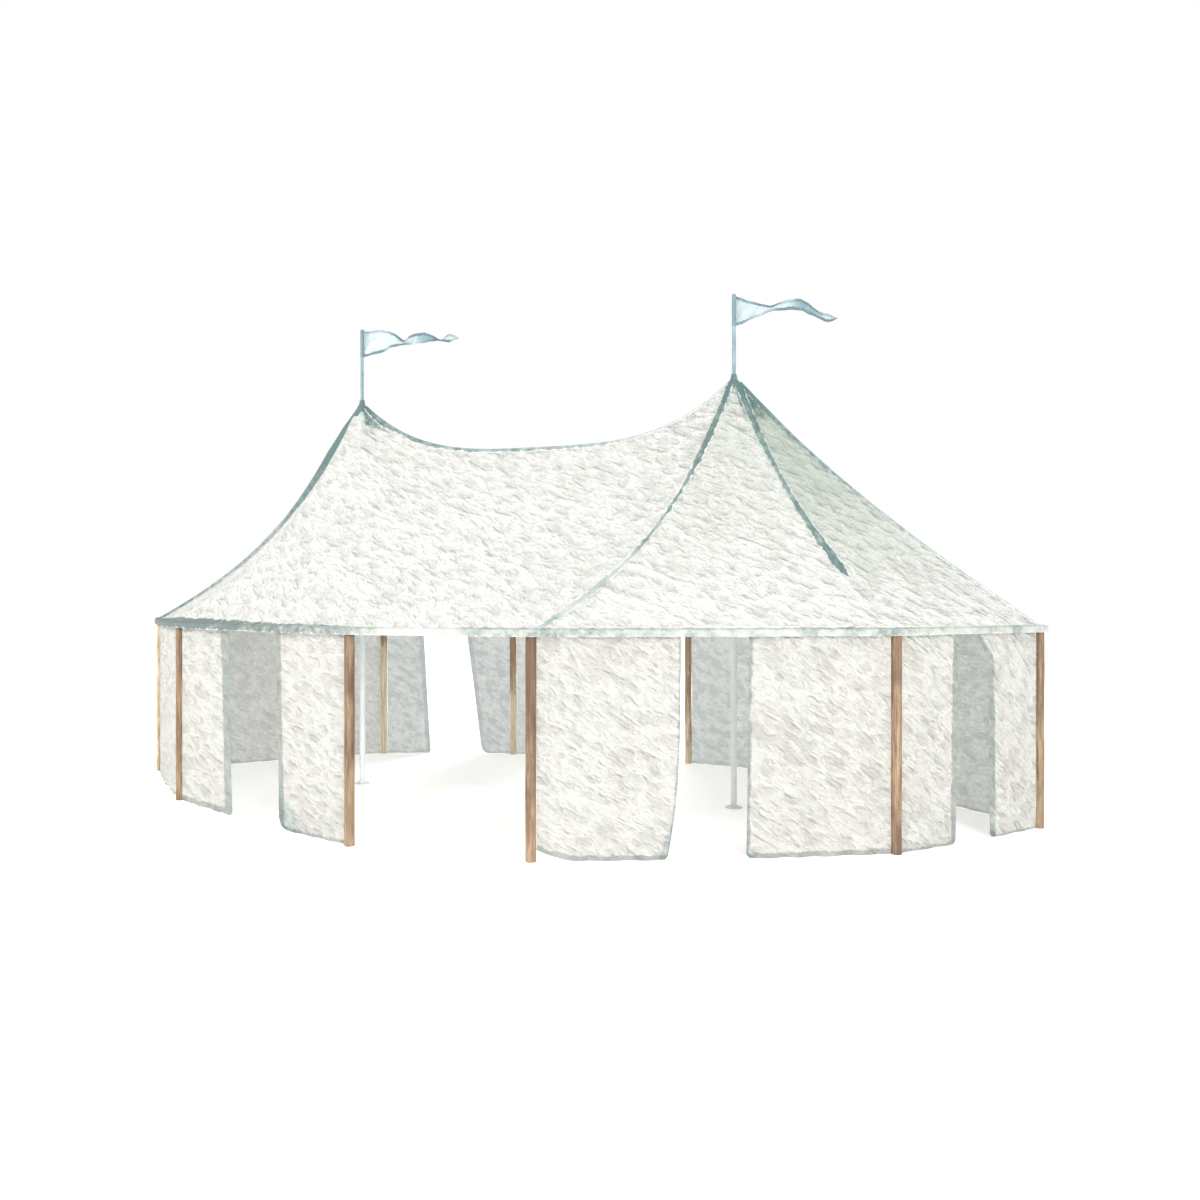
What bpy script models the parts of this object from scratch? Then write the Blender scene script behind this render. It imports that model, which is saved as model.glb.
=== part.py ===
"""Sailcloth pole tent, about 12.3 m by 6.1 m on the ground and 6.5 m to the tops of its staffs.

Metres, +Z up, with the ground at z = 0. +X runs along the ridge and -Y is the front. The origin
is on the ground in the middle of the tent.
"""

import math

import bmesh
import bpy
from mathutils import Matrix, Vector

# Driving dimensions
EAVE = 2.30  # underside of the roof's hem, which the side poles and the walls reach
PEAK = 5.35  # cloth at the two peaks
PEAK_X = 2.64  # centre of the tent to a peak
RIDGE_LOW = 4.64  # lowest point of the ridge, half way between the peaks
RIDGE_POWER = 3.3  # how sharply the ridge turns up towards the peaks
HALF_LENGTH = 6.14  # centre of the tent to an end pole
HALF_WIDTH = 2.96  # ridge to the crown of the front and rear eaves
BULGE = 0.02  # how far a bay's eave curves outwards, as a share of its length
GAP = 0.0003  # clearance between pieces that touch

# Roof cloth
CLOTH_DEPTH = 0.018  # measured straight down through the cloth
RING_RADIUS = 0.06  # round opening at each peak
BILLOW = 0.05  # how far a panel's middle sags below its two hips
HEM_DEPTH = 0.018
HEM_INSIDE = 0.05  # from the pole line inwards
HEM_OUTSIDE = 0.07  # and outwards
VALANCE_DROP = 0.055
VALANCE_THICKNESS = 0.012
ROOF_ROWS = 12
FAN_COLUMNS = 10
RIDGE_COLUMNS = 16
RING_COLUMNS = 8
RING_SHARE = 0.07  # share of a middle bay at each end whose columns rise to a ring, not to the ridge

# Poles
SIDE_POLE_RADIUS = 0.055
CENTRE_POLE_RADIUS = 0.038
BASE_PLATE_RADIUS = 0.11
BASE_PLATE_THICKNESS = 0.010
COLLAR_HEIGHT = 0.12
POLE_SIDES = 24

# Staffs and pennants
STAFF_RADIUS = 0.024
STAFF_TOP = 6.45
CAP_HEIGHT = 0.09
CAP_TOP_RADIUS = 0.036
PENNANT_HOIST = 0.385
PENNANT_TIP = 0.11
PENNANT_TAPER = 2.4  # above 1 the pennant narrows fast at first and ends in a long tail
PENNANT_THICKNESS = 0.010
PENNANT_RIPPLE = 0.022
PENNANT_SWING = 0.060
PENNANT_COLUMNS = 24

# Walls
WALL_THICKNESS = 0.010
WALL_FOOT = 0.005  # the cloth ends just above the ground
WALL_STEP = 0.15  # length of one flat along a wall's curve
WALL_ROWS = 4

# Each peak: its side, its place along the ridge, its pennant's length and how far the tail droops
PEAKS = (
    ("left", -PEAK_X, 1.48, 0.06),
    ("right", PEAK_X, 1.26, 0.24),
)

FRONT_MIDDLE_X = 1.03
REAR_MIDDLE_X = 1.50

# Side poles, clockwise from above, starting at the left end. The last value says how taut the hip
# above the pole is: 1 runs straight down from the peak, and 0 hangs in a deep curve.
FRONT_Y = -(HALF_WIDTH - BULGE * 2 * FRONT_MIDDLE_X)
REAR_Y = HALF_WIDTH - BULGE * 2 * REAR_MIDDLE_X
SIDE_POLES = (
    ("left_end", -HALF_LENGTH, 0.0, 0.55),
    ("front_left_outer", -4.36, -1.60, 0.57),
    ("front_left", -FRONT_MIDDLE_X, FRONT_Y, 0.51),
    ("front_right", FRONT_MIDDLE_X, FRONT_Y, 0.51),
    ("front_right_outer", 4.54, -1.60, 0.70),
    ("right_end", HALF_LENGTH, 0.0, 0.84),
    ("rear_right_outer", 3.64, 2.35, 0.70),
    ("rear_right", REAR_MIDDLE_X, REAR_Y, 0.55),
    ("rear_left", -REAR_MIDDLE_X, REAR_Y, 0.55),
    ("rear_left_outer", -3.64, 2.35, 0.57),
)

# Roof panels by name, in the order of the bays between those poles
ROOF_PANELS = (
    "roof_left_front",
    "roof_front_left",
    "roof_front_middle",
    "roof_front_right",
    "roof_right_front",
    "roof_right_rear",
    "roof_rear_right",
    "roof_rear_middle",
    "roof_rear_left",
    "roof_left_rear",
)

# Walls: name, bay, and where the curtain starts and ends along the bay, at its top and its foot.
# None stands for the pole at that end of the bay.
WALLS = (
    ("wall_left_front", 0, None, None),
    ("wall_front_left_outer", 1, None, (1.28, 1.37)),
    ("wall_front_left_inner", 1, (2.30, 2.36), None),
    ("wall_front_right_inner", 3, None, (1.52, 1.34)),
    ("wall_front_right_outer", 3, (2.20, 2.17), None),
    ("wall_right_front_inner", 4, None, (0.88, 0.84)),
    ("wall_right_front_outer", 4, (1.34, 1.39), None),
    ("wall_right_rear", 5, None, None),
    ("wall_rear_right", 6, None, None),
    ("wall_rear_middle", 7, (1.75, 1.80), None),
    ("wall_rear_left_inner", 8, None, (0.83, 0.56)),
    ("wall_rear_left_outer", 8, (1.56, 1.42), None),
    ("wall_left_rear", 9, None, None),
)


def material(name, colour, roughness, metallic=0.0):
    made = bpy.data.materials.new(name)
    made.use_nodes = True
    shader = made.node_tree.nodes["Principled BSDF"]
    shader.inputs["Base Color"].default_value = (*colour, 1.0)
    shader.inputs["Roughness"].default_value = roughness
    shader.inputs["Metallic"].default_value = metallic
    made.diffuse_color = (*colour, 1.0)
    return made


def add_object(name, mesh, finish, collection):
    made = bpy.data.objects.new(name, mesh)
    mesh.materials.append(finish)
    collection.objects.link(made)
    return made


def clear_scene():
    for old in list(bpy.data.objects):
        bpy.data.objects.remove(old, do_unlink=True)
    tent = bpy.data.collections.new("sailcloth_tent")
    bpy.context.scene.collection.children.link(tent)
    return tent


def pole_at(index):
    """A side pole's place in plan, and how taut its hip is."""
    _, x, y, taut = SIDE_POLES[index % len(SIDE_POLES)]
    return Vector((x, y)), taut


def eave_point(bay, share):
    """Plan point on a bay's curved eave, share 0 at its first pole and 1 at its second."""
    start, _ = pole_at(bay)
    end, _ = pole_at(bay + 1)
    along = end - start
    outwards = Vector((along.y, -along.x))
    return start + along * share + outwards * (4 * BULGE * share * (1 - share))


def ridge_height(x):
    return RIDGE_LOW + (PEAK - RIDGE_LOW) * min(1.0, abs(x) / (PEAK_X - RING_RADIUS)) ** RIDGE_POWER


def hang(share, taut):
    """Height left at a share of the way from peak to pole, from 1 at the peak to 0 at the pole."""
    left = 1 - share
    return taut * left + (1 - taut) * left**3


def ring_point(pole_index, angle_share):
    """Point on a peak's ring, turned from the hip above a pole (0) towards the ridge (1)."""
    pole, _ = pole_at(pole_index)
    peak = Vector((math.copysign(PEAK_X, pole.x), 0.0))
    hip = pole - peak
    ridge = Vector((-peak.x, 0.0))
    turn = hip.angle_signed(ridge) * angle_share
    hip.rotate(Matrix.Rotation(-turn, 2))
    return peak + hip.normalized() * RING_RADIUS


def is_middle(bay):
    """Whether a bay's roof panel rises to the ridge, and not to one peak."""
    first, _ = pole_at(bay)
    second, _ = pole_at(bay + 1)
    return first.x * second.x < 0


def roof_top_point(bay, share):
    """Where a panel's column starts: on a peak's ring, or on the ridge in the two middle bays."""
    eave = eave_point(bay, share)
    if not is_middle(bay):
        first, _ = pole_at(bay)
        second, _ = pole_at(bay + 1)
        peak = Vector((math.copysign(PEAK_X, first.x + second.x), 0.0))
        return peak + (eave - peak).normalized() * RING_RADIUS, PEAK
    if share <= RING_SHARE:
        return ring_point(bay, share / RING_SHARE), PEAK
    if share >= 1 - RING_SHARE:
        return ring_point(bay + 1, (1 - share) / RING_SHARE), PEAK
    first, _ = pole_at(bay)
    start = math.copysign(PEAK_X - RING_RADIUS, first.x)
    x = start * (1 - 2 * (share - RING_SHARE) / (1 - 2 * RING_SHARE))
    return Vector((x, 0.0)), ridge_height(x)


def eave_normal(bay, share):
    """Level unit vector square to a bay's curved eave, pointing out of the tent."""
    start, _ = pole_at(bay)
    end, _ = pole_at(bay + 1)
    along = end - start
    outwards = Vector((along.y, -along.x))
    tangent = along + outwards * (4 * BULGE * (1 - 2 * share))
    return Vector((tangent.y, -tangent.x)).normalized()


def hem_direction(bay, share):
    """Way the hem is offset from the pole line, mitred at a pole with the hem of the next bay."""
    if share == 0.0:
        both = eave_normal(bay, 0.0) + eave_normal(bay - 1, 1.0)
    elif share == 1.0:
        both = eave_normal(bay, 1.0) + eave_normal(bay + 1, 0.0)
    else:
        return eave_normal(bay, share)
    return both * 2 / both.length_squared


def roof_column(bay, share):
    """One column of a panel, from its top to its hem: the cloth's upper and lower points, then the
    outline of the hem and valance, which starts and ends at the last upper and lower point."""
    eave = eave_point(bay, share)
    top, height = roof_top_point(bay, share)
    hem = hem_direction(bay, share)
    inner = eave - hem * HEM_INSIDE
    _, first_taut = pole_at(bay)
    _, second_taut = pole_at(bay + 1)
    taut = first_taut + (second_taut - first_taut) * share
    billow = BILLOW * 4 * share * (1 - share)
    shift = pull_back(bay, share) * GAP / 2
    base = EAVE + HEM_DEPTH
    cloth_share = (inner - top).length / (eave - top).length
    upper, lower = [], []
    for row in range(ROOF_ROWS + 1):
        down = row / ROOF_ROWS
        plan = top + (inner - top) * down + shift
        sag = billow * math.sin(math.pi * down)
        z = base + (height - base) * hang(down * cloth_share, taut) - sag
        upper.append(Vector((*plan, z)))
        lower.append(Vector((*plan, EAVE if row == ROOF_ROWS else z - CLOTH_DEPTH)))
    edge = eave + hem * HEM_OUTSIDE + shift
    inside = eave + hem * (HEM_OUTSIDE - VALANCE_THICKNESS) + shift
    outline = [
        Vector((*(eave + shift), base)),
        Vector((*edge, base - HEM_DEPTH / 2)),
        Vector((*edge, EAVE - VALANCE_DROP)),
        Vector((*inside, EAVE - VALANCE_DROP)),
        Vector((*inside, EAVE)),
    ]
    return upper, lower, outline


def across(bay, share):
    """Level unit vector from the hip at one end of a bay into the bay."""
    eave = eave_point(bay, share)
    top, _ = roof_top_point(bay, share)
    outwards = (eave - top).normalized()
    side = Vector((-outwards.y, outwards.x))
    middle = eave_point(bay, 0.5)
    return side if side.dot(middle - eave) > 0 else -side


def pull_back(bay, share):
    """Unit vector away from the neighbouring panel: off the hip at each end, and off the ridge."""
    if share in (0.0, 1.0):
        return across(bay, share)
    top, _ = roof_top_point(bay, share)
    if abs(top.y) < GAP:
        return Vector((0.0, math.copysign(1.0, eave_point(bay, share).y)))
    return Vector((0.0, 0.0))


def finished_mesh(shell, name):
    bmesh.ops.recalc_face_normals(shell, faces=shell.faces)
    mesh = bpy.data.meshes.new(name)
    shell.to_mesh(mesh)
    shell.free()
    return mesh


def join_rings(shell, rings):
    for one, other in zip(rings, rings[1:]):
        for i in range(len(one)):
            j = (i + 1) % len(one)
            shell.faces.new((one[i], one[j], other[j], other[i]))


def loft_panel(name, columns):
    """A roof panel through its columns. Its ends are upright strips, flat one by one, so that they
    lie along the neighbour's ends."""
    shell = bmesh.new()
    rings, ends = [], []
    for upper, lower, outline in columns:
        upper = [shell.verts.new(point) for point in upper]
        lower = [shell.verts.new(point) for point in lower]
        outline = [shell.verts.new(point) for point in outline]
        rings.append(upper + outline + lower[::-1])
        ends.append((upper, lower, outline))
    join_rings(shell, rings)
    for upper, lower, outline in (ends[0], ends[-1]):
        for row in range(ROOF_ROWS):
            shell.faces.new((upper[row], upper[row + 1], lower[row + 1], lower[row]))
        shell.faces.new([upper[-1], *outline, lower[-1]])
    return finished_mesh(shell, name)


def loft(name, sections):
    """A closed solid through a row of like rings of points, flat at both ends."""
    shell = bmesh.new()
    rings = [[shell.verts.new(point) for point in section] for section in sections]
    join_rings(shell, rings)
    shell.faces.new(rings[0])
    shell.faces.new(rings[-1])
    return finished_mesh(shell, name)


def column_shares(bay):
    if not is_middle(bay):
        return [i / FAN_COLUMNS for i in range(FAN_COLUMNS + 1)]
    ring = [RING_SHARE * i / RING_COLUMNS for i in range(RING_COLUMNS)]
    ridge = [RING_SHARE + (1 - 2 * RING_SHARE) * i / RIDGE_COLUMNS for i in range(RIDGE_COLUMNS + 1)]
    return ring + ridge + [1 - share for share in reversed(ring)]


def build_roof(finish, tent):
    for bay, name in enumerate(ROOF_PANELS):
        columns = [roof_column(bay, share) for share in column_shares(bay)]
        add_object(name, loft_panel(name, columns), finish, tent)


def turned(name, profile, finish, tent, x):
    """A turned piece: the profile runs down the outer side from top to bottom, as (radius, z)."""
    mesh = bpy.data.meshes.new(name)
    points = [(radius, 0.0, z) for radius, z in profile]
    edges = [(i, i + 1) for i in range(len(points) - 1)]
    if profile[0][0] > 0:
        edges.append((len(points) - 1, 0))
    mesh.from_pydata(points, edges, [])
    made = add_object(name, mesh, finish, tent)
    made.location.x = x
    screw = made.modifiers.new("turn", "SCREW")
    screw.steps = screw.render_steps = POLE_SIDES
    screw.use_merge_vertices = True
    screw.merge_threshold = 0.0001
    return made


def build_side_poles(finish, tent):
    for name, x, y, _ in SIDE_POLES:
        bar = bmesh.new()
        height = EAVE - GAP
        bmesh.ops.create_cone(
            bar,
            cap_ends=True,
            segments=POLE_SIDES,
            radius1=SIDE_POLE_RADIUS,
            radius2=SIDE_POLE_RADIUS,
            depth=height,
        )
        mesh = bpy.data.meshes.new("side_pole")
        bar.to_mesh(mesh)
        bar.free()
        mesh.shade_smooth()
        mesh.set_sharp_from_angle(angle=math.radians(40))
        pole = add_object(f"side_pole_{name}", mesh, finish, tent)
        pole.location = (x, y, height / 2)


def build_centre_pole(side, x, finish, tent):
    collar = RING_RADIUS - GAP
    profile = (
        (0.0, PEAK),
        (collar, PEAK),
        (collar, PEAK - COLLAR_HEIGHT),
        (CENTRE_POLE_RADIUS, PEAK - 1.5 * COLLAR_HEIGHT),
        (CENTRE_POLE_RADIUS, BASE_PLATE_THICKNESS),
        (BASE_PLATE_RADIUS, BASE_PLATE_THICKNESS),
        (BASE_PLATE_RADIUS, 0.0),
        (0.0, 0.0),
    )
    turned(f"centre_pole_{side}", profile, finish, tent, x)


def build_cap(side, x, finish, tent):
    bore = STAFF_RADIUS + GAP
    foot = PEAK + GAP
    profile = (
        (bore, foot + CAP_HEIGHT),
        (CAP_TOP_RADIUS, foot + CAP_HEIGHT),
        (RING_RADIUS, foot),
        (bore, foot),
    )
    turned(f"peak_cap_{side}", profile, finish, tent, x)


def build_staff(side, x, finish, tent):
    foot = PEAK + GAP
    profile = (
        (0.0, STAFF_TOP),
        (STAFF_RADIUS, STAFF_TOP),
        (STAFF_RADIUS, foot),
        (0.0, foot),
    )
    turned(f"flagstaff_{side}", profile, finish, tent, x)


def build_pennant(side, x, length, droop, finish, tent):
    """A narrow pennant streaming towards +X in waves, whose tail hangs down by droop."""
    top = STAFF_TOP - 0.01
    sections = []
    for column in range(PENNANT_COLUMNS + 1):
        share = column / PENNANT_COLUMNS
        half = (PENNANT_TIP + (PENNANT_HOIST - PENNANT_TIP) * (1 - share) ** PENNANT_TAPER) / 2
        ripple = PENNANT_RIPPLE * math.sin(5 * math.pi * share) * share
        middle = top - PENNANT_HOIST / 2 + ripple - droop * share**4
        y = PENNANT_SWING * math.sin(3.5 * math.pi * share) * share
        at = x + STAFF_RADIUS + GAP + length * share
        corners = ((-1, -1), (1, -1), (1, 1), (-1, 1))
        thick = PENNANT_THICKNESS / 2
        sections.append([Vector((at, y + a * thick, middle + b * half)) for a, b in corners])
    name = f"pennant_{side}"
    add_object(name, loft(name, sections), finish, tent)


def wall_share(bay, along, end):
    """Share along a bay of a distance from its first pole, or of the face of the pole at an end."""
    start, _ = pole_at(bay)
    finish, _ = pole_at(bay + 1)
    length = (finish - start).length
    clear = (SIDE_POLE_RADIUS + GAP) / length
    if along is not None:
        return along / length
    return clear if end == 0 else 1 - clear


def build_wall(name, bay, starts, ends, finish, tent):
    """A curtain along its bay's curve, from just above the ground to the hem. Its side edges lean."""
    top = EAVE - GAP
    edges = []
    for row in (0, 1):
        left = wall_share(bay, None if starts is None else starts[row], 0)
        right = wall_share(bay, None if ends is None else ends[row], 1)
        edges.append((left, right))
    start, _ = pole_at(bay)
    end, _ = pole_at(bay + 1)
    length = (end - start).length * (edges[0][1] - edges[0][0])
    columns = max(2, round(length / WALL_STEP))
    sheet = bmesh.new()
    grid = []
    for row in range(WALL_ROWS + 1):
        up = row / WALL_ROWS
        left = edges[1][0] + (edges[0][0] - edges[1][0]) * up
        right = edges[1][1] + (edges[0][1] - edges[1][1]) * up
        z = WALL_FOOT + (top - WALL_FOOT) * up
        points = [eave_point(bay, left + (right - left) * i / columns) for i in range(columns + 1)]
        grid.append([sheet.verts.new((*point, z)) for point in points])
    for lower, upper in zip(grid, grid[1:]):
        for i in range(columns):
            sheet.faces.new((lower[i], lower[i + 1], upper[i + 1], upper[i]))
    mesh = bpy.data.meshes.new(name)
    sheet.to_mesh(mesh)
    sheet.free()
    wall = add_object(name, mesh, finish, tent)
    solidify = wall.modifiers.new("thickness", "SOLIDIFY")
    solidify.thickness = WALL_THICKNESS
    solidify.offset = 0.0


def build_tent():
    tent = clear_scene()
    roof_cloth = material("roof_cloth", (0.90, 0.88, 0.84), 0.75)
    wall_cloth = material("wall_cloth", (0.92, 0.89, 0.82), 0.80)
    pole_wood = material("pole_wood", (0.40, 0.20, 0.12), 0.60)
    staff_paint = material("staff_paint", (0.32, 0.42, 0.48), 0.50)
    pennant_cloth = material("pennant_cloth", (0.62, 0.72, 0.80), 0.75)
    cap_cloth = material("cap_cloth", (0.30, 0.42, 0.46), 0.70)

    build_roof(roof_cloth, tent)
    build_side_poles(pole_wood, tent)
    for side, x, length, droop in PEAKS:
        build_centre_pole(side, x, staff_paint, tent)
        build_cap(side, x, cap_cloth, tent)
        build_staff(side, x, staff_paint, tent)
        build_pennant(side, x, length, droop, pennant_cloth, tent)
    for name, bay, starts, ends in WALLS:
        build_wall(name, bay, starts, ends, wall_cloth, tent)


build_tent()
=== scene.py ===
"""Looks of the sailcloth pole tent: its cloth, webbing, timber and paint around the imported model.

Metres, +Z up, ground at z = 0, +X along the ridge and -Y out of the front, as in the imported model.
"""

import math
import random

import bmesh
import bpy
from mathutils import Matrix, Vector, noise
from mathutils.bvhtree import BVHTree


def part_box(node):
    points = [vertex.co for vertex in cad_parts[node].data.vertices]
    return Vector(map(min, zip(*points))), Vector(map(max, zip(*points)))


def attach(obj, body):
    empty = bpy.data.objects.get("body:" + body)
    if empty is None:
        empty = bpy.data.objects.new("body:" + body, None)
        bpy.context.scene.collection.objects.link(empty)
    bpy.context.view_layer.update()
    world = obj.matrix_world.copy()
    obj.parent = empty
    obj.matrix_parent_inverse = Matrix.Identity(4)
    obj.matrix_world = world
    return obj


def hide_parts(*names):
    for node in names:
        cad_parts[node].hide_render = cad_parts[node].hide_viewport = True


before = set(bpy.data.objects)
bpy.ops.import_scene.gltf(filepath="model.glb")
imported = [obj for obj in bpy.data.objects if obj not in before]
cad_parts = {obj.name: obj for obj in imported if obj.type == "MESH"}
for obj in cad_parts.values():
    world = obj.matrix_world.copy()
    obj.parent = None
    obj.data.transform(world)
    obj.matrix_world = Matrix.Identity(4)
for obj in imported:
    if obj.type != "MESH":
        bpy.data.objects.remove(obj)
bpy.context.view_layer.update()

# Side poles from the left end round by the front, with how taut the hip above each one is: 1 runs
# straight down from the peak, and 0 hangs in a deep curve
TAUT = {
    "left_end": 0.55,
    "front_left_outer": 0.57,
    "front_left": 0.51,
    "front_right": 0.51,
    "front_right_outer": 0.70,
    "right_end": 0.84,
    "rear_right_outer": 0.70,
    "rear_right": 0.55,
    "rear_left": 0.55,
    "rear_left_outer": 0.57,
}
POLE_NAMES = tuple(TAUT)
BAYS = len(POLE_NAMES)


def middle_of(node):
    low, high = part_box(node)
    return (low + high) / 2


def half_width(node):
    low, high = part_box(node)
    return (high.x - low.x) / 2


POLES = [middle_of(f"side_pole_{name}").to_2d() for name in POLE_NAMES]

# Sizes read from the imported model
GAP = 0.0003
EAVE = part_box("side_pole_left_end")[1].z + GAP
POLE_RADIUS = half_width("side_pole_left_end")
RING_RADIUS = half_width("peak_cap_left")
STAFF_RADIUS = half_width("flagstaff_left")
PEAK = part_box("centre_pole_left")[1].z
PEAK_X = middle_of("centre_pole_right").x
STAFF_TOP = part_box("flagstaff_left")[1].z
UP = Vector((0, 0, 1))

# Roof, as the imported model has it
RIDGE_LOW = 4.64
RIDGE_POWER = 3.3
BULGE = 0.02  # how far a bay's eave curves outwards, as a share of its length
RING_SHARE = 0.07
BILLOW = 0.05
HEM_DEPTH = 0.018
HEM_INSIDE = 0.05
HEM_OUTSIDE = 0.07
VALANCE_DROP = 0.055

# Roof cloth
ROOF_THICK = 0.004
ROOF_ROWS = 56
ROW_CROWDING = 1.35  # above 1 the rows lie closer near the peaks, where the cloth curves most
STRIP_WIDTH = 1.4  # cloth between two seams, measured along the eave
STRIP_COLUMNS = 10
RING_COLUMNS = 8
RIDGE_COLUMNS = 60
LIP_INSET = 0.004  # the cloth turns down over the hem and ends this far inside its edge
LIP_RISE = 0.6  # where it ends, as a share of the hem's depth

# Walls
WALL_THICK = 0.004
WALL_FOOT = 0.005
WALL_COLUMN = 0.03
WALL_ROWS = 44


# Shader values and materials


class Value:
    """A number that varies over a surface. Sums written with it become Math nodes."""

    def __init__(self, finish, socket):
        self.finish = finish
        self.socket = socket

    def sum(self, operation, first, second=0.0):
        return self.finish.add("ShaderNodeMath", {"operation": operation}, {0: first, 1: second})

    def __add__(self, other):
        return self.sum("ADD", self, other)

    def __radd__(self, other):
        return self.sum("ADD", other, self)

    def __sub__(self, other):
        return self.sum("SUBTRACT", self, other)

    def __rsub__(self, other):
        return self.sum("SUBTRACT", other, self)

    def __mul__(self, other):
        return self.sum("MULTIPLY", self, other)

    def __rmul__(self, other):
        return self.sum("MULTIPLY", other, self)

    def low(self, other):
        return self.sum("MINIMUM", self, other)

    def high(self, other):
        return self.sum("MAXIMUM", self, other)


def opaque(colour):
    """A colour as a socket takes it: a value stays as it is, and (red, green, blue) gets its alpha."""
    return colour if isinstance(colour, Value) else (*colour, 1.0)


class Finish:
    """One material: its Principled shader and the nodes that feed it."""

    def __init__(self, name, roughness):
        self.material = bpy.data.materials.new(name)
        self.material.use_nodes = True
        self.tree = self.material.node_tree
        self.shader = self.tree.nodes["Principled BSDF"]
        self.roughness(roughness)

    def add(self, kind, settings=None, inputs=None, output=0):
        """Adds a node: its settings first, then the values or links of its sockets."""
        node = self.tree.nodes.new(kind)
        for label, value in (settings or {}).items():
            setattr(node, label, value)
        for label, value in (inputs or {}).items():
            self.feed(node.inputs[label], value)
        return Value(self, node.outputs[output])

    def feed(self, socket, value):
        if isinstance(value, Value):
            self.tree.links.new(value.socket, socket)
        else:
            socket.default_value = value

    def place(self, stretch=(1, 1, 1), turn=(0, 0, 0)):
        """Object coordinates, stretched and then turned."""
        source = self.add("ShaderNodeTexCoord", output="Object")
        inputs = {"Vector": source, "Scale": stretch, "Rotation": turn}
        return self.add("ShaderNodeMapping", inputs=inputs)

    def mark(self, name):
        """A number kept on the mesh's points."""
        return self.add("ShaderNodeAttribute", {"attribute_name": name}, output="Fac")

    def noise(self, scale, detail=2, roughness=0.5, place=None):
        """Soft noise, mostly from 0.3 to 0.7, on plain Object coordinates if no place is given."""
        inputs = {"Vector": place or self.place(), "Scale": scale}
        inputs |= {"Detail": detail, "Roughness": roughness}
        return self.add("ShaderNodeTexNoise", inputs=inputs)

    def drift(self, scale, reach, detail=4, roughness=0.7):
        """A number that wanders round 0 over the surface, up to half of reach away from it."""
        return (self.noise(scale, detail, roughness) - 0.5) * reach

    def step(self, value, start, end):
        """0 where value is at start, 1 where it is at end, and smooth between them."""
        inputs = {"Value": value, "From Min": start, "From Max": end}
        return self.add("ShaderNodeMapRange", {"interpolation_type": "SMOOTHSTEP"}, inputs)

    def blend(self, share, first, second):
        """A mix of two colours, each a value or (red, green, blue)."""
        inputs = {0: share, 6: opaque(first), 7: opaque(second)}
        return self.add("ShaderNodeMix", {"data_type": "RGBA"}, inputs, output=2)

    def darken(self, colour, share, tint):
        """A colour multiplied by a tint, by a share."""
        settings = {"data_type": "RGBA", "blend_type": "MULTIPLY"}
        inputs = {0: share, 6: opaque(colour), 7: opaque(tint)}
        return self.add("ShaderNodeMix", settings, inputs, output=2)

    def colour(self, value):
        self.feed(self.shader.inputs["Base Color"], value)

    def roughness(self, value):
        self.feed(self.shader.inputs["Roughness"], value)

    def bump(self, height, depth, under=None):
        """Relief from a height between 0 and 1, whose full depth is in metres."""
        inputs = {"Height": height, "Strength": 1.0, "Distance": depth}
        if under is not None:
            inputs["Normal"] = under
        relief = self.add("ShaderNodeBump", inputs=inputs)
        self.feed(self.shader.inputs["Normal"], relief)
        return relief

    def let_light_through(self, share, tint):
        """Mixes in a Translucent shader, as thin cloth needs."""
        through = self.add("ShaderNodeBsdfTranslucent", inputs={"Color": (*tint, 1.0)})
        face = Value(self, self.shader.outputs[0])
        both = self.add("ShaderNodeMixShader", inputs={0: share, 1: face, 2: through})
        self.feed(self.tree.nodes["Material Output"].inputs["Surface"], both)


# Turn that lays the z axis of the grain along its dents' short side: the dents slant down to the
# right on every face that looks towards the front
GRAIN_TURN = tuple(math.radians(angle) for angle in (27.7, -24.9, 0.0))
# How much of the distance from front to rear the grain counts: less on the roof, so that its dents
# are as tall as the walls' ones when they are seen along its slope
WALL_SPREAD = 1.0
ROOF_SPREAD = 0.35
THREAD_SCALE = 160.0
THREAD_DEPTH = 0.0003


def slanted(finish, spread, narrow):
    """Object coordinates turned to the slant of the grain, with its short side made narrow."""
    turned = finish.place(stretch=(1, spread, 1), turn=GRAIN_TURN)
    return finish.add("ShaderNodeMapping", inputs={"Vector": turned, "Scale": (1, 1, narrow)})


def canvas_grain(finish, spread=WALL_SPREAD):
    """The dry, crumpled grain of old canvas: slanting dents about a hand wide with smaller and
    smaller puckers on them."""
    return finish.noise(5.0, detail=4, place=slanted(finish, spread, 2.4))


def fine_grain(finish):
    """Small puckers."""
    return finish.noise(30.0, place=slanted(finish, WALL_SPREAD, 1.6))


def weave(finish):
    """Threads of the cloth, from 0 to 1."""
    place = finish.place()
    threads = []
    for direction in ("Z", "X"):
        settings = {"wave_type": "BANDS", "bands_direction": direction}
        inputs = {"Vector": place, "Scale": THREAD_SCALE}
        threads.append(finish.add("ShaderNodeTexWave", settings, inputs, output="Fac"))
    return (threads[0] + threads[1]) * 0.5


def cloth_relief(finish, grain, depth):
    """Relief of the grain, whose height is depth, and of the threads."""
    relief = finish.bump(grain, depth)
    return finish.bump(weave(finish), THREAD_DEPTH, relief)


# Finishes. Each function starts with its colours, as red, green and blue from 0 to 1

# Painted shade: the grey green laid on the bays that lie in shade
PAINTED_SHADE_TINT = (0.54, 0.64, 0.57)  # the grey green of a shaded bay
CLOTH_PALE = (0.58, 0.59, 0.57)  # cloth where a tape over it is rubbed away
WARM_LIGHT = (0.95, 0.945, 0.91)  # what comes through the roof
SEAM_HALF = 0.024
HEM_WIDTH = 0.052
SEWN_LIFT = 0.002  # how far a seam or a hem stands up
FRAY = 0.014  # how far in from its edge a tape is rubbed, on average


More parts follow.
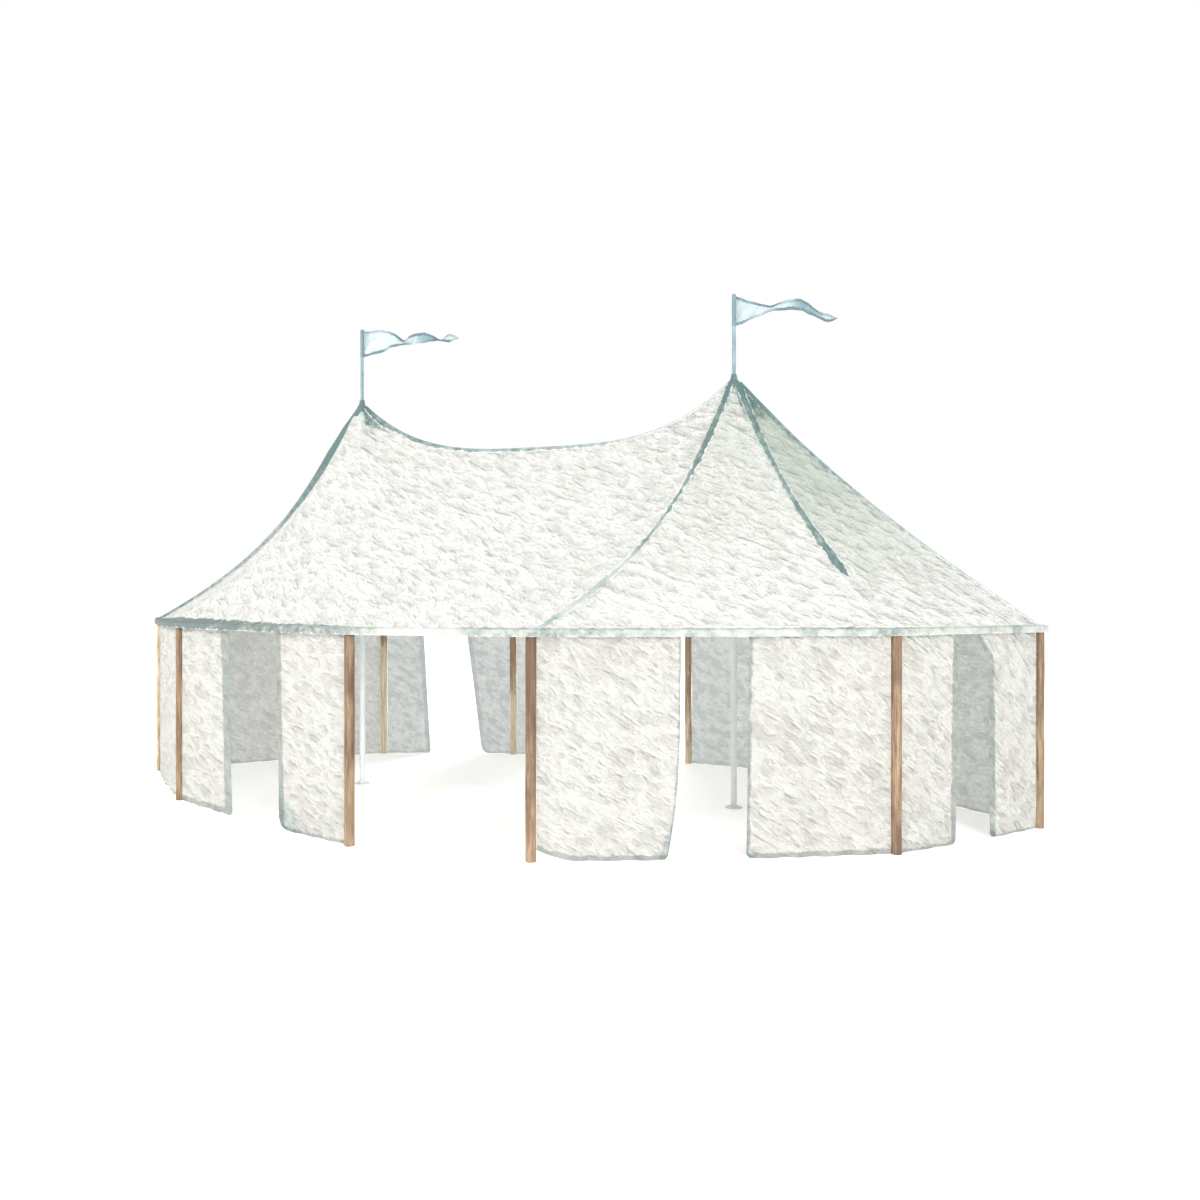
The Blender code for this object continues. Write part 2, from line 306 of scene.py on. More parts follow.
def roof_cloth_finish():
    """The weathered outside of the roof, with painted shade. One mark gives a grey green painted shade on
    whole bays, wash is the grey of the reinforcement round the peaks together with painted shade on the
    right peak's shaded side, the dents of the grain carry painted shade, and seam is the distance from a
    seam."""
    clean, aged, dent_shade = (0.78, 0.785, 0.767), (0.755, 0.75, 0.742), (0.80, 0.805, 0.80)
    reinforcement_and_shade, sewn = (0.26, 0.37, 0.355), (0.965, 0.97, 0.97)
    finish = Finish("roof_sailcloth", 0.82)
    grain = canvas_grain(finish, ROOF_SPREAD)
    blotches = finish.noise(1.3, detail=3, roughness=0.6)
    colour = finish.blend(finish.step(blotches, 0.35, 0.7), clean, aged)
    # Painted shade in the dents of the grain
    colour = finish.darken(colour, finish.step(grain, 0.56, 0.34), dent_shade)
    # Painted shade: grey green on the bays that lie in shade
    colour = finish.darken(colour, finish.mark("cool"), PAINTED_SHADE_TINT)
    # Grey round the peaks: the reinforcement, and painted shade on the right peak's shaded side
    wash = finish.step(finish.mark("wash") + finish.drift(9.0, 1.1, roughness=0.65), 0.15, 0.85)
    colour = finish.darken(colour, wash, reinforcement_and_shade)
    seam = finish.mark("seam")
    colour = finish.darken(colour, finish.step(seam, SEAM_HALF, SEAM_HALF - 0.010), sewn)
    finish.colour(colour)
    relief = cloth_relief(finish, grain, 0.25)
    finish.bump(finish.step(seam, SEAM_HALF, SEAM_HALF - 0.007), SEWN_LIFT, relief)
    finish.let_light_through(0.36 * (1 - wash), WARM_LIGHT)
    return finish.material


def roof_lining_finish():
    """The underside of the roof, greyer and without the marks of the weather."""
    shaded_hollow, raised = (0.80, 0.82, 0.81), (0.87, 0.88, 0.86)
    finish = Finish("roof_lining", 0.88)
    grain = canvas_grain(finish, ROOF_SPREAD)
    # Painted shade in the grain's hollows and painted light on its raised parts
    finish.colour(finish.blend(finish.step(grain, 0.35, 0.65), shaded_hollow, raised))
    cloth_relief(finish, grain, 0.05)
    finish.let_light_through(0.6, WARM_LIGHT)
    return finish.material


def painted_edges(finish):
    """The grey edge along a curtain's free sides and its foot, whose widths are the marks trim and
    hem: 1 on it and 0 past it. Gives how it wanders, in metres, and then the edge."""
    wander = finish.drift(11.0, 0.09)
    side, foot = (
        finish.step(finish.mark(edge) + wander - finish.mark(width), 0.008, -0.008)
        for edge, width in (("side", "trim"), ("foot", "hem"))
    )
    return wander, side.high(foot)


def wall_cloth_finish():
    """The outside of a curtain, with its painted edges and painted shade in the dents of its grain. The
    mark stain is above 0 in the grey of a free foot corner, and foot is the height above the foot."""
    clean, aged, dent_shade = (0.785, 0.775, 0.73), (0.765, 0.748, 0.704), (0.82, 0.815, 0.80)
    slate, corner_grey_tint = (0.36, 0.44, 0.435), (0.60, 0.67, 0.68)
    finish = Finish("wall_canvas", 0.86)
    grain = canvas_grain(finish)
    blotches = finish.noise(1.1, detail=3, roughness=0.55)
    colour = finish.blend(finish.step(blotches, 0.35, 0.7), clean, aged)
    # Painted shade in the dents of the grain
    colour = finish.darken(colour, finish.step(grain, 0.54, 0.34), dent_shade)
    wander, edges = painted_edges(finish)
    ink = finish.noise(6.0, detail=4, roughness=0.65) * 1.65
    colour = finish.darken(colour, (edges * ink).low(1.0), slate)
    stain = finish.step(finish.mark("stain") + wander * 6, -0.15, 0.25)
    finish.colour(finish.darken(colour, stain, corner_grey_tint))
    relief = cloth_relief(finish, grain, 0.24)
    finish.bump(finish.step(finish.mark("foot"), HEM_WIDTH, HEM_WIDTH - 0.006), SEWN_LIFT, relief)
    finish.let_light_through(0.42 * (1 - 0.7 * stain), (0.96, 0.945, 0.90))
    return finish.material


def wall_lining_finish():
    """The inner face of a curtain, with the same edges: a blue grey painted shade that gives way to a
    paler, painted lit colour where the mark lining is low, painted shade in the dents and puckers of the
    grain, and painted shade under the eave, where the mark top is small."""
    blue, white, lit_cream = (0.66, 0.78, 0.84), (0.96, 1.0, 1.0), (0.97, 0.96, 0.92)
    dent_shade, pucker_shade, slate = (0.36, 0.41, 0.44), (0.66, 0.69, 0.71), (0.46, 0.56, 0.57)
    finish = Finish("wall_lining", 0.88)
    grain = canvas_grain(finish)
    washes = finish.noise(1.9, detail=5, roughness=0.65, place=slanted(finish, WALL_SPREAD, 1.5))
    deep = finish.blend(finish.step(washes, 0.32, 0.68), blue, white)
    # Painted shade: blue grey inside the tent, turning to a paler painted lit colour where the mark lining
    # is low
    colour = finish.blend(finish.mark("lining"), lit_cream, deep)
    # Painted shade in the dents of the grain, deeper where the inside is more shaded
    dents = finish.step(grain, 0.51, 0.41) * (0.4 + finish.mark("lining") * 0.6)
    colour = finish.darken(colour, dents, dent_shade)
    # Painted shade in the small puckers of the grain
    puckers = finish.noise(15.0, detail=3, roughness=0.6, place=slanted(finish, WALL_SPREAD, 2.4))
    colour = finish.darken(colour, finish.step(puckers, 0.55, 0.40), pucker_shade)
    wander, edges = painted_edges(finish)
    # Painted shade under the eave
    shade = finish.step(finish.mark("top") + wander * 2, 0.20, 0.04) * 0.7
    finish.colour(finish.darken(colour, edges.high(shade), slate))
    cloth_relief(finish, grain, 0.5)
    finish.let_light_through(0.60, (0.92, 0.95, 0.96))
    return finish.material


def webbing_finish(name, middle, dark, patchy):
    """Tape, darker where the mark tone is high. It is rubbed to the cloth's colour where tone is
    below 0, and unevenly along its edges: the mark edge is the distance from them."""
    finish = Finish(name, 0.75)
    tone = finish.mark("tone") + finish.drift(9.0, patchy, detail=5)
    tone = tone + finish.drift(2.2, 0.5, detail=2, roughness=0.5)
    colour = finish.blend(finish.step(tone, 0.0, 1.05), middle, dark)
    edge = finish.mark("edge") + finish.drift(12.0, 0.13)
    rubbed = finish.step(edge, FRAY + 0.006, FRAY - 0.006)
    bare = finish.step(tone, 0.05, -0.35).high(rubbed)
    # The bare cloth under a rubbed tape keeps its bay's grey green painted shade
    cloth = finish.darken(CLOTH_PALE, finish.mark("cool"), PAINTED_SHADE_TINT)
    finish.colour(finish.blend(bare, colour, cloth))
    finish.bump(fine_grain(finish), 0.004)
    return finish.material


def pennant_finish():
    """Blue cotton, deeper where the mark wash is high, with an inked hem along both edges. The marks
    upper and lower are the distances from them, and upper_ink and lower_ink how dark they are."""
    mild, pale, deep = (0.46, 0.54, 0.56), (0.60, 0.68, 0.69), (0.20, 0.29, 0.32)
    slate = (0.10, 0.165, 0.19)
    finish = Finish("pennant_cotton", 0.80)
    patches = finish.noise(12.0, detail=5, roughness=0.7)
    colour = finish.blend(finish.step(patches, 0.3, 0.7), mild, pale)
    drift = (patches - 0.5) * 0.9
    colour = finish.blend(finish.step(finish.mark("wash") + drift, 0.1, 0.9), colour, deep)
    wander = finish.drift(26.0, 0.035, detail=3, roughness=0.5)
    for edge in ("upper", "lower"):
        hem = finish.step(finish.mark(edge) + wander, 0.046, 0.028)
        ink = finish.step(finish.mark(f"{edge}_ink") + drift * 0.6, 0.0, 1.0)
        colour = finish.blend(hem * ink, colour, slate)
    finish.colour(colour)
    finish.bump(weave(finish), 0.0004)
    finish.let_light_through(0.25, (0.80, 0.87, 0.90))
    return finish.material


def timber_finish():
    """Stained pole timber with long grain: dark where its wear and light mark is 0, rubbed to tan where it
    is near 1, and paler above that. The paler tones are partly bleaching and partly painted light on the
    rear poles, which stand in shade. The darker tops are partly painted shade under the eave band."""
    stained, tan, bleached_and_lit = (0.162, 0.096, 0.056), (0.395, 0.290, 0.175), (0.74, 0.665, 0.475)
    finish = Finish("stained_timber", 0.6)
    grain = finish.noise(60.0, detail=5, roughness=0.7, place=finish.place(stretch=(1, 1, 0.035)))
    streaks = finish.noise(16.0, detail=5, roughness=0.7, place=finish.place(stretch=(1, 1, 0.16)))
    wear_and_light = finish.mark("wear_and_light") + (streaks - 0.5) * 2.2
    colour = finish.blend(finish.step(wear_and_light, -0.1, 0.9), stained, tan)
    # Paler above 1: partly bleaching and partly painted light on the rear poles that stand in shade
    colour = finish.blend(finish.step(wear_and_light, 1.0, 1.6), colour, bleached_and_lit)
    colour = finish.darken(colour, finish.step(grain, 0.62, 0.38), (0.66, 0.56, 0.52))
    finish.colour(colour)
    finish.roughness(0.5 + grain * 0.25)
    finish.bump(grain, 0.0015)
    return finish.material


def paint_finish(name, dark, light, roughness):
    """Old paint on metal, rubbed a little lighter in patches."""
    finish = Finish(name, roughness)
    wear = finish.noise(14.0, detail=5, roughness=0.65, place=finish.place(stretch=(1, 1, 0.3)))
    finish.colour(finish.blend(finish.step(wear, 0.35, 0.68), dark, light))
    finish.roughness(roughness + (wear - 0.5) * 0.3)
    finish.bump(wear, 0.0008)
    return finish.material


# Making meshes


def deselect():
    bpy.ops.object.select_all(action="DESELECT")


def pick(piece):
    deselect()
    piece.select_set(True)
    bpy.context.view_layer.objects.active = piece


def add_piece(name, mesh, *materials):
    piece = bpy.data.objects.new(name, mesh)
    bpy.context.scene.collection.objects.link(piece)
    for material in materials:
        mesh.materials.append(material)
    return piece


def apply_modifiers(piece):
    pick(piece)
    for modifier in list(piece.modifiers):
        bpy.ops.object.modifier_apply(modifier=modifier.name)


def smooth(piece, angle=50):
    piece.data.shade_smooth()
    piece.data.set_sharp_from_angle(angle=math.radians(angle))


def settle(piece, slot, *nodes):
    """Rides the piece on the tent and hides the nodes that it stands for. Its slot is not used."""
    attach(piece, "root")
    if nodes:
        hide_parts(*nodes)
    return piece


def note(marks, **values):
    """Adds a point's named numbers to the marks of its sheet."""
    for label, value in values.items():
        marks.setdefault(label, []).append(value)


def sheet_mesh(name, columns, marks, ring=False, outwards=None):
    """An open sheet through columns of points. marks holds named numbers, one for each point."""
    rows = len(columns[0])
    spans = len(columns) if ring else len(columns) - 1
    faces = []
    for i in range(spans):
        j = (i + 1) % len(columns)
        for k in range(rows - 1):
            faces.append((i * rows + k, i * rows + k + 1, j * rows + k + 1, j * rows + k))
    mesh = bpy.data.meshes.new(name)
    mesh.from_pydata([point for column in columns for point in column], [], faces)
    for label, values in marks.items():
        layer = mesh.attributes.new(label, "FLOAT", "POINT")
        layer.data.foreach_set("value", values)
    if outwards is not None and mesh.polygons[len(faces) // 2].normal.dot(outwards) < 0:
        mesh.flip_normals()
    return mesh


def weld(mesh, closed=False):
    """Merges points that meet, and turns the faces of a closed mesh outwards."""
    shell = bmesh.new()
    shell.from_mesh(mesh)
    bmesh.ops.remove_doubles(shell, verts=shell.verts, dist=0.0005)
    if closed:
        bmesh.ops.recalc_face_normals(shell, faces=shell.faces)
    shell.to_mesh(mesh)
    shell.free()


def thicken(piece, thickness, inwards=True, second_material=0):
    solid = piece.modifiers.new("thickness", "SOLIDIFY")
    solid.thickness = thickness
    solid.offset = -1.0 if inwards else 1.0
    solid.material_offset = second_material
    apply_modifiers(piece)
    smooth(piece)


def drawn_up(name, place, profile, material, sides=48, wander=0.0, seed=0):
    """A round piece drawn up from a circle. The profile goes up as (radius, height), and wander
    shifts the steps sideways a little, as in timber that grew so."""
    draw = random.Random(seed)
    deselect()
    x, y = place
    radius, height = profile[0]
    bpy.ops.mesh.primitive_circle_add(
        vertices=sides, radius=radius, fill_type="NGON", location=(x, y, height)
    )
    piece = bpy.context.object
    piece.name = name
    bpy.ops.object.mode_set(mode="EDIT")
    bpy.ops.mesh.select_all(action="SELECT")
    for (before, low), (after, high) in zip(profile, profile[1:]):
        shift = (draw.uniform(-wander, wander), draw.uniform(-wander, wander), high - low)
        x += shift[0]
        y += shift[1]
        bpy.ops.mesh.extrude_region_move(TRANSFORM_OT_translate={"value": shift})
        scale = after / before
        bpy.ops.transform.resize(value=(scale, scale, 1.0), center_override=(x, y, high))
    bpy.ops.mesh.select_all(action="SELECT")
    bpy.ops.mesh.normals_make_consistent(inside=False)
    bpy.ops.object.mode_set(mode="OBJECT")
    bpy.ops.object.transform_apply(location=True, rotation=True, scale=True)
    piece.data.materials.append(material)
    smooth(piece, 35)
    return piece


# Tables and unevenness


def table_value(table, at):
    """Value between the stops (place, value, ...) of a table, for each of its columns."""
    for one, other in zip(table, table[1:]):
        if at <= other[0]:
            share = (at - one[0]) / (other[0] - one[0])
            return [a + (b - a) * share for a, b in zip(one[1:], other[1:])]
    return list(table[-1][1:])


def curved(table, at):
    """Like table_value, but on one smooth curve through the stops."""
    end = len(table) - 1
    after = next((i for i in range(1, end + 1) if at <= table[i][0]), end)
    stops = [table[min(max(i, 0), end)] for i in range(after - 2, after + 2)]
    places, *columns = zip(*stops)
    span = places[2] - places[1]
    t = (at - places[1]) / span
    values = []
    for a, b, c, d in columns:
        first = (c - a) / (places[2] - places[0]) * span
        last = (d - b) / (places[3] - places[1]) * span
        swing = (2 * t**3 - 3 * t**2 + 1) * b + (3 * t**2 - 2 * t**3) * c
        values.append(swing + (t**3 - 2 * t**2 + t) * first + (t**3 - t**2) * last)
    return values


def uneven(plan, pitch, seed):
    """A smooth random number from -1 to 1 for a place seen from above."""
    return noise.noise(Vector((plan.x * pitch, plan.y * pitch, seed)))


# The roof's shape


def hip_taut(index):
    return TAUT[POLE_NAMES[index % BAYS]]


def pole_at(index):
    return POLES[index % BAYS]


def peak_near(x):
    """The peak on this side of the tent's middle, seen from above."""
    return Vector((math.copysign(PEAK_X, x), 0.0))


def bay_ways(bay):
    """Where a bay starts, the way along it to its other pole, and as far outwards."""
    start = pole_at(bay)
    along = pole_at(bay + 1) - start
    return start, along, Vector((along.y, -along.x))


def eave_point(bay, share):
    start, along, outwards = bay_ways(bay)
    return start + along * share + outwards * (4 * BULGE * share * (1 - share))


def eave_normal(bay, share):
    _, along, outwards = bay_ways(bay)
    tangent = along + outwards * (4 * BULGE * (1 - 2 * share))
    return Vector((tangent.y, -tangent.x)).normalized()


def hem_direction(bay, share):
    """Way the hem is offset from the pole line, mitred at a pole."""
    if share == 0.0:
        both = eave_normal(bay, 0.0) + eave_normal(bay - 1, 1.0)
    elif share == 1.0:
        both = eave_normal(bay, 1.0) + eave_normal(bay + 1, 0.0)
    else:
        return eave_normal(bay, share)
    return both * 2 / both.length_squared


def ridge_height(x):
    return RIDGE_LOW + (PEAK - RIDGE_LOW) * min(1.0, abs(x) / (PEAK_X - RING_RADIUS)) ** RIDGE_POWER


def hang(share, taut):
    """Height that is left a share of the way down a hanging line, from 1 to 0."""
    left = 1 - share
    return taut * left + (1 - taut) * left**3


def is_middle(bay):
    """Whether the ridge, and not a peak alone, holds the bay."""
    return pole_at(bay).x * pole_at(bay + 1).x < 0


def ring_point(pole_index, angle_share):
    """Point on a peak's ring, turned from the hip above a pole (0) towards the ridge (1)."""
    pole = pole_at(pole_index)
    peak = peak_near(pole.x)
    hip = pole - peak
    turn = hip.angle_signed(Vector((-peak.x, 0.0))) * angle_share
    hip.rotate(Matrix.Rotation(-turn, 2))
    return peak + hip.normalized() * RING_RADIUS


def roof_top_point(bay, share):
    """Where a column of the roof starts: on a peak's ring, or on the ridge."""
    if not is_middle(bay):
        peak = peak_near(pole_at(bay).x + pole_at(bay + 1).x)
        return peak + (eave_point(bay, share) - peak).normalized() * RING_RADIUS, PEAK
    if share <= RING_SHARE:
        return ring_point(bay, share / RING_SHARE), PEAK
    if share >= 1 - RING_SHARE:
        return ring_point(bay + 1, (1 - share) / RING_SHARE), PEAK
    start = math.copysign(PEAK_X - RING_RADIUS, pole_at(bay).x)
    x = start * (1 - 2 * (share - RING_SHARE) / (1 - 2 * RING_SHARE))
    return Vector((x, 0.0)), ridge_height(x)


def crumple(plan):
    """Small uneven dents of stretched cloth, in metres."""
    return 0.009 * uneven(plan, 1.9, 3.0) + 0.005 * uneven(plan, 4.5, 7.0)


def roof_point(bay, share, down):
    """Point of the cloth's outer face, a share of the way down a column from its top."""
    eave = eave_point(bay, share)
    top, height = roof_top_point(bay, share)
    inner = eave - hem_direction(bay, share) * HEM_INSIDE
    plan = top + (inner - top) * down
    base = EAVE + HEM_DEPTH
    cloth_share = (inner - top).length / (eave - top).length
    taut = hip_taut(bay) + (hip_taut(bay + 1) - hip_taut(bay)) * share
    loose = math.sin(math.pi * down)
    sag = BILLOW * 4 * share * (1 - share) * loose
    z = base + (height - base) * hang(down * cloth_share, taut) - sag + crumple(plan) * loose
    return Vector((*plan, z))


# How much grey green painted shade the cloth has near its peak, by bay from the left end round by the
# front: not at all on the sunny side, and most at the shaded right end
PAINTED_BAY_SHADE = (0.0, 0.0, 0.0, 0.50, 1.55, 0.95, 0.5, 0.1, 0.1, 0.1)


def cool_left(down):
    """Share of a bay's grey green painted shade that is left a share of the way down: none at the eave."""
    return 1 - down**0.8


# Grey washes round the peaks: the grey of the reinforcement there, and painted shade down the shaded side
# of the right peak. Turn from +X towards the rear in degrees, how far down the cloth the wash reaches, and
# its strength
PEAK_WASHES = {
    "left": (
        (-180, 0.10, 0.2), (-120, 0.10, 0.2), (-75, 0.12, 0.2), (-55, 0.35, 0.4), (-38, 0.74, 1.3),
        (-22, 0.66, 1.3), (0, 0.66, 1.4), (30, 0.55, 1.0), (70, 0.30, 0.4), (130, 0.15, 0.3),
        (180, 0.10, 0.2),
    ),
    "right": (
        (-180, 0.12, 0.0), (-140, 0.25, 0.3), (-85, 0.25, 0.6), (-68, 0.35, 0.9), (-58, 0.68, 1.6),
        (-30, 0.75, 1.7), (0, 0.75, 1.7), (40, 0.50, 1.0), (90, 0.30, 0.6), (140, 0.15, 0.3),
        (180, 0.12, 0.0),
    ),
}


def peak_wash(point):
    """How grey the cloth round the peaks is at a point of the roof: its reinforcement, with painted shade
    on the shaded side of the right peak.
    """
    away = point.to_2d() - peak_near(point.x)
    turn = math.degrees(math.atan2(away.y, away.x))
    reach, strength = table_value(PEAK_WASHES["left" if point.x < 0 else "right"], turn)
    down = math.hypot(away.length - RING_RADIUS, PEAK - point.z)
    return strength * max(0.0, 1 - down / reach)


def roof_shares(bay):
    """Shares of a bay's columns, the last left to the next bay, and the shares of its seams."""
    chord = (pole_at(bay + 1) - pole_at(bay)).length
    strips = max(2, round(chord / STRIP_WIDTH)) + (2 if is_middle(bay) else 0)
    seams = [i / strips for i in range(strips + 1)]
    if not is_middle(bay):
        count = strips * STRIP_COLUMNS
        return [i / count for i in range(count)], seams
    ring = [RING_SHARE * i / RING_COLUMNS for i in range(RING_COLUMNS)]
    ridge = [RING_SHARE + (1 - 2 * RING_SHARE) * i / RIDGE_COLUMNS for i in range(RIDGE_COLUMNS + 1)]
    return ring + ridge + [1 - share for share in reversed(ring[1:])], seams


def build_roof_surface():
    """The outer face of the whole roof, from the peaks' rings and the ridge to the eave."""
    columns, marks = [], {}
    for bay in range(BAYS):
        shares, seams = roof_shares(bay)
        for share in shares:
            near = min(seams, key=lambda seam: abs(seam - share))
            column = []
            for row in range(ROOF_ROWS + 1):
                down = (row / ROOF_ROWS) ** ROW_CROWDING
                point = roof_point(bay, share, down)
                column.append(point)
                from_seam = (point - roof_point(bay, near, down)).length
                # Each point keeps its bay's grey green painted shade, its wash round the peaks and its
                # distance from a seam
                note(marks, cool=PAINTED_BAY_SHADE[bay] * cool_left(down), wash=peak_wash(point), seam=from_seam)
            eave = eave_point(bay, share)
            lip = eave + hem_direction(bay, share) * (HEM_OUTSIDE - LIP_INSET)
            column.append(Vector((*eave, EAVE + HEM_DEPTH)))
            column.append(Vector((*lip, EAVE + HEM_DEPTH * LIP_RISE)))
            for values in marks.values():
                values += [values[-1]] * 2
            columns.append(column)
    return sheet_mesh("roof_cloth", columns, marks, ring=True, outwards=UP)


class Cover:
    """The roof's outer face, to lay tapes on."""

    def __init__(self, mesh):
        shell = bmesh.new()
        shell.from_mesh(mesh)
        self.tree = BVHTree.FromBMesh(shell)
        shell.free()

    def height(self, plan):
        above = Vector((plan.x, plan.y, PEAK + 1))
        point, _, _, _ = self.tree.ray_cast(above, -UP)
        return None if point is None else point.z

    def beside(self, middle, sideways, reach):
        """Point on the roof a reach away from a point, measured along the cloth."""
        start = self.height(middle)
        if reach == 0:
            return Vector((*middle, start))
        offset = reach
        for _ in range(4):
            plan = middle + sideways * offset
            height = self.height(plan)
            if height is None:
                return Vector((*plan, start))
            offset *= reach / math.hypot(offset, height - start)
        plan = middle + sideways * offset
        height = self.height(plan)
        return Vector((*plan, start if height is None else height))


# The rounded hip: radius of the cloth that each point takes its height from, and the rings there as
# shares of it, where along the hip it starts and ends, over what share it fades in and out, and how
# many times its radius it reaches to each side
SOFT_RADIUS = 0.55
SOFT_RINGS = (0.45, 0.9)
SOFT_START, SOFT_END = 0.08, 0.98
SOFT_FADE_IN, SOFT_FADE_OUT = 0.3, 0.12
SOFT_SIDES = 1.6
SOFT_LEAST = 0.02  # a smaller radius changes nothing


def soften_hip(mesh, pole_index):
    """Rounds the fold above a pole whose hip has no tape, as cloth pulled over nothing would be:
    each point there goes to the mean height of the cloth round it."""
    cover = Cover(mesh)
    peak = peak_near(pole_at(pole_index).x)
    hip = pole_at(pole_index) - peak
    for vertex in mesh.vertices:
        plan = vertex.co.to_2d()
        along = (plan - peak).dot(hip) / hip.length_squared
        if not SOFT_START < along < SOFT_END:
            continue
        off = abs((plan - peak).cross(hip)) / hip.length
        room = min(1.0, (along - SOFT_START) / SOFT_FADE_IN, (1 - along) / SOFT_FADE_OUT)
        spread = SOFT_RADIUS * room * max(0.0, 1 - off / (SOFT_SIDES * SOFT_RADIUS))
        if spread < SOFT_LEAST:
            continue
        heights = []
        for ring in SOFT_RINGS:
            for turn in range(4):
                angle = math.pi * turn / 4
                offset = Vector((math.cos(angle), math.sin(angle))) * spread * ring
                pair = [cover.height(plan + offset), cover.height(plan - offset)]
                if None not in pair:
                    heights += pair
        heights.append(vertex.co.z)
        vertex.co.z = sum(heights) / len(heights)


def build_roof(outer, lining):
    mesh = build_roof_surface()
    weld(mesh)
    soften_hip(mesh, POLE_NAMES.index("front_left"))
    cover = Cover(mesh)
    roof = add_piece("roof_cloth", mesh, outer, lining)
    thicken(roof, ROOF_THICK, second_material=1)
    nodes = sorted(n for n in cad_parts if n.startswith("roof_"))
    return settle(roof, "roof_cloth", *nodes), cover


# Tapes, collars and the eave band

TAPE_THICK = 0.003
TAPE_LIFT = 0.003
TAPE_STEPS = 120
TAPE_WANDER = 0.30  # how uneven the tapes' widths are
TAPE_TRIM = 0.004  # share of a hip that its tape leaves free at each end
TAPE_INSET = 0.012  # how far inside the eave's edge a hip's tape would end
RIDGE_TRIM = 0.004  # how far from a peak's ring the ridge's tape ends
HUMP_STEPS = 3
LEFT_TAPE_OTHER = 0.3  # the left hip's tape is broad to the front only

# Tapes on the hips: share of the way from peak to eave, half width, rope radius, tone. Behind the
# tent they are the same to the left and to the right
REAR_OUTER_TAPE = (
    (0.0, 0.035, 0.012, 1.0), (0.2, 0.028, 0.010, 0.85), (0.6, 0.020, 0.008, 0.6),
    (1.0, 0.018, 0.008, 0.4),
)
REAR_TAPE = (
    (0.0, 0.040, 0.014, 1.0), (0.2, 0.030, 0.010, 0.85), (0.5, 0.020, 0.008, 0.55),
    (1.0, 0.016, 0.008, 0.35),
)
HIP_TAPES = {
    "left_end": (
        (0.0, 0.050, 0.010, 1.2), (0.025, 0.110, 0.034, 1.2), (0.05, 0.180, 0.060, 1.15),
        (0.12, 0.290, 0.080, 1.1), (0.19, 0.230, 0.060, 1.0), (0.30, 0.140, 0.036, 0.7),
        (0.44, 0.100, 0.030, 0.6), (0.8, 0.070, 0.022, 0.6), (0.95, 0.075, 0.020, 0.9),
        (1.0, 0.075, 0.020, 1.0),
    ),
    "front_right": (
        (0.0, 0.048, 0.014, 1.1), (0.10, 0.054, 0.016, 0.9), (0.20, 0.040, 0.012, 0.8),
        (0.28, 0.024, 0.008, 0.6), (0.42, 0.024, 0.008, 0.65), (0.52, 0.024, 0.007, 0.5),
        (0.60, 0.030, 0.006, 0.0), (0.70, 0.040, 0.006, 0.45), (0.80, 0.034, 0.006, 0.1),
        (0.90, 0.040, 0.006, 0.45), (1.0, 0.034, 0.006, 0.1),
    ),
    "front_right_outer": (
        (0.0, 0.060, 0.012, 1.1), (0.10, 0.044, 0.009, 0.9), (0.30, 0.028, 0.008, 0.7),
        (0.45, 0.036, 0.010, 0.8), (0.55, 0.052, 0.012, 0.85), (0.68, 0.050, 0.010, 0.9),
        (0.735, 0.008, 0.004, 0.8),
    ),
    "right_end": (
        (0.0, 0.055, 0.018, 1.0), (0.10, 0.060, 0.020, 0.85), (0.20, 0.040, 0.014, 0.7),
        (0.42, 0.038, 0.013, 0.6), (0.56, 0.030, 0.010, 0.45), (0.7, 0.022, 0.008, 0.25),
        (1.0, 0.020, 0.008, 0.15),
    ),
    "rear_right_outer": REAR_OUTER_TAPE,
    "rear_right": REAR_TAPE,
    "rear_left": REAR_TAPE,
    "rear_left_outer": REAR_OUTER_TAPE,
}
# The ridge's tape, from the left peak to the right one
RIDGE_TAPE = (
    (0.0, 0.060, 0.014, 1.0), (0.05, 0.085, 0.014, 0.8), (0.10, 0.052, 0.011, 0.7),
    (0.3, 0.044, 0.010, 0.6), (0.55, 0.044, 0.010, 0.55), (0.68, 0.038, 0.009, 0.4),
    (0.78, 0.028, 0.007, 0.15), (0.9, 0.024, 0.006, 0.05), (1.0, 0.030, 0.008, 0.3),
)


def tape_section(half, rope):
    """Half of a tape's section from its middle outwards, as (reach, lift): a hump over the rope that
    is sewn in under it, then a flat wing."""
    turns = [math.radians(90 * i / HUMP_STEPS) for i in range(HUMP_STEPS)]
    hump = [(rope * math.sin(turn), rope * math.cos(turn)) for turn in turns]
    return hump + [(rope, 0.002), ((rope + half) / 2, 0.0), (half, 0.0)]


def sew_on(name, columns, marks, finish, ring=False):
    """A band of tape cloth on the roof, from the face that lies on it."""
    mesh = sheet_mesh(name, columns, marks, ring=ring, outwards=UP)
    band = add_piece(name, mesh, finish)
    thicken(band, TAPE_THICK, inwards=False)
    return settle(band, "cap")


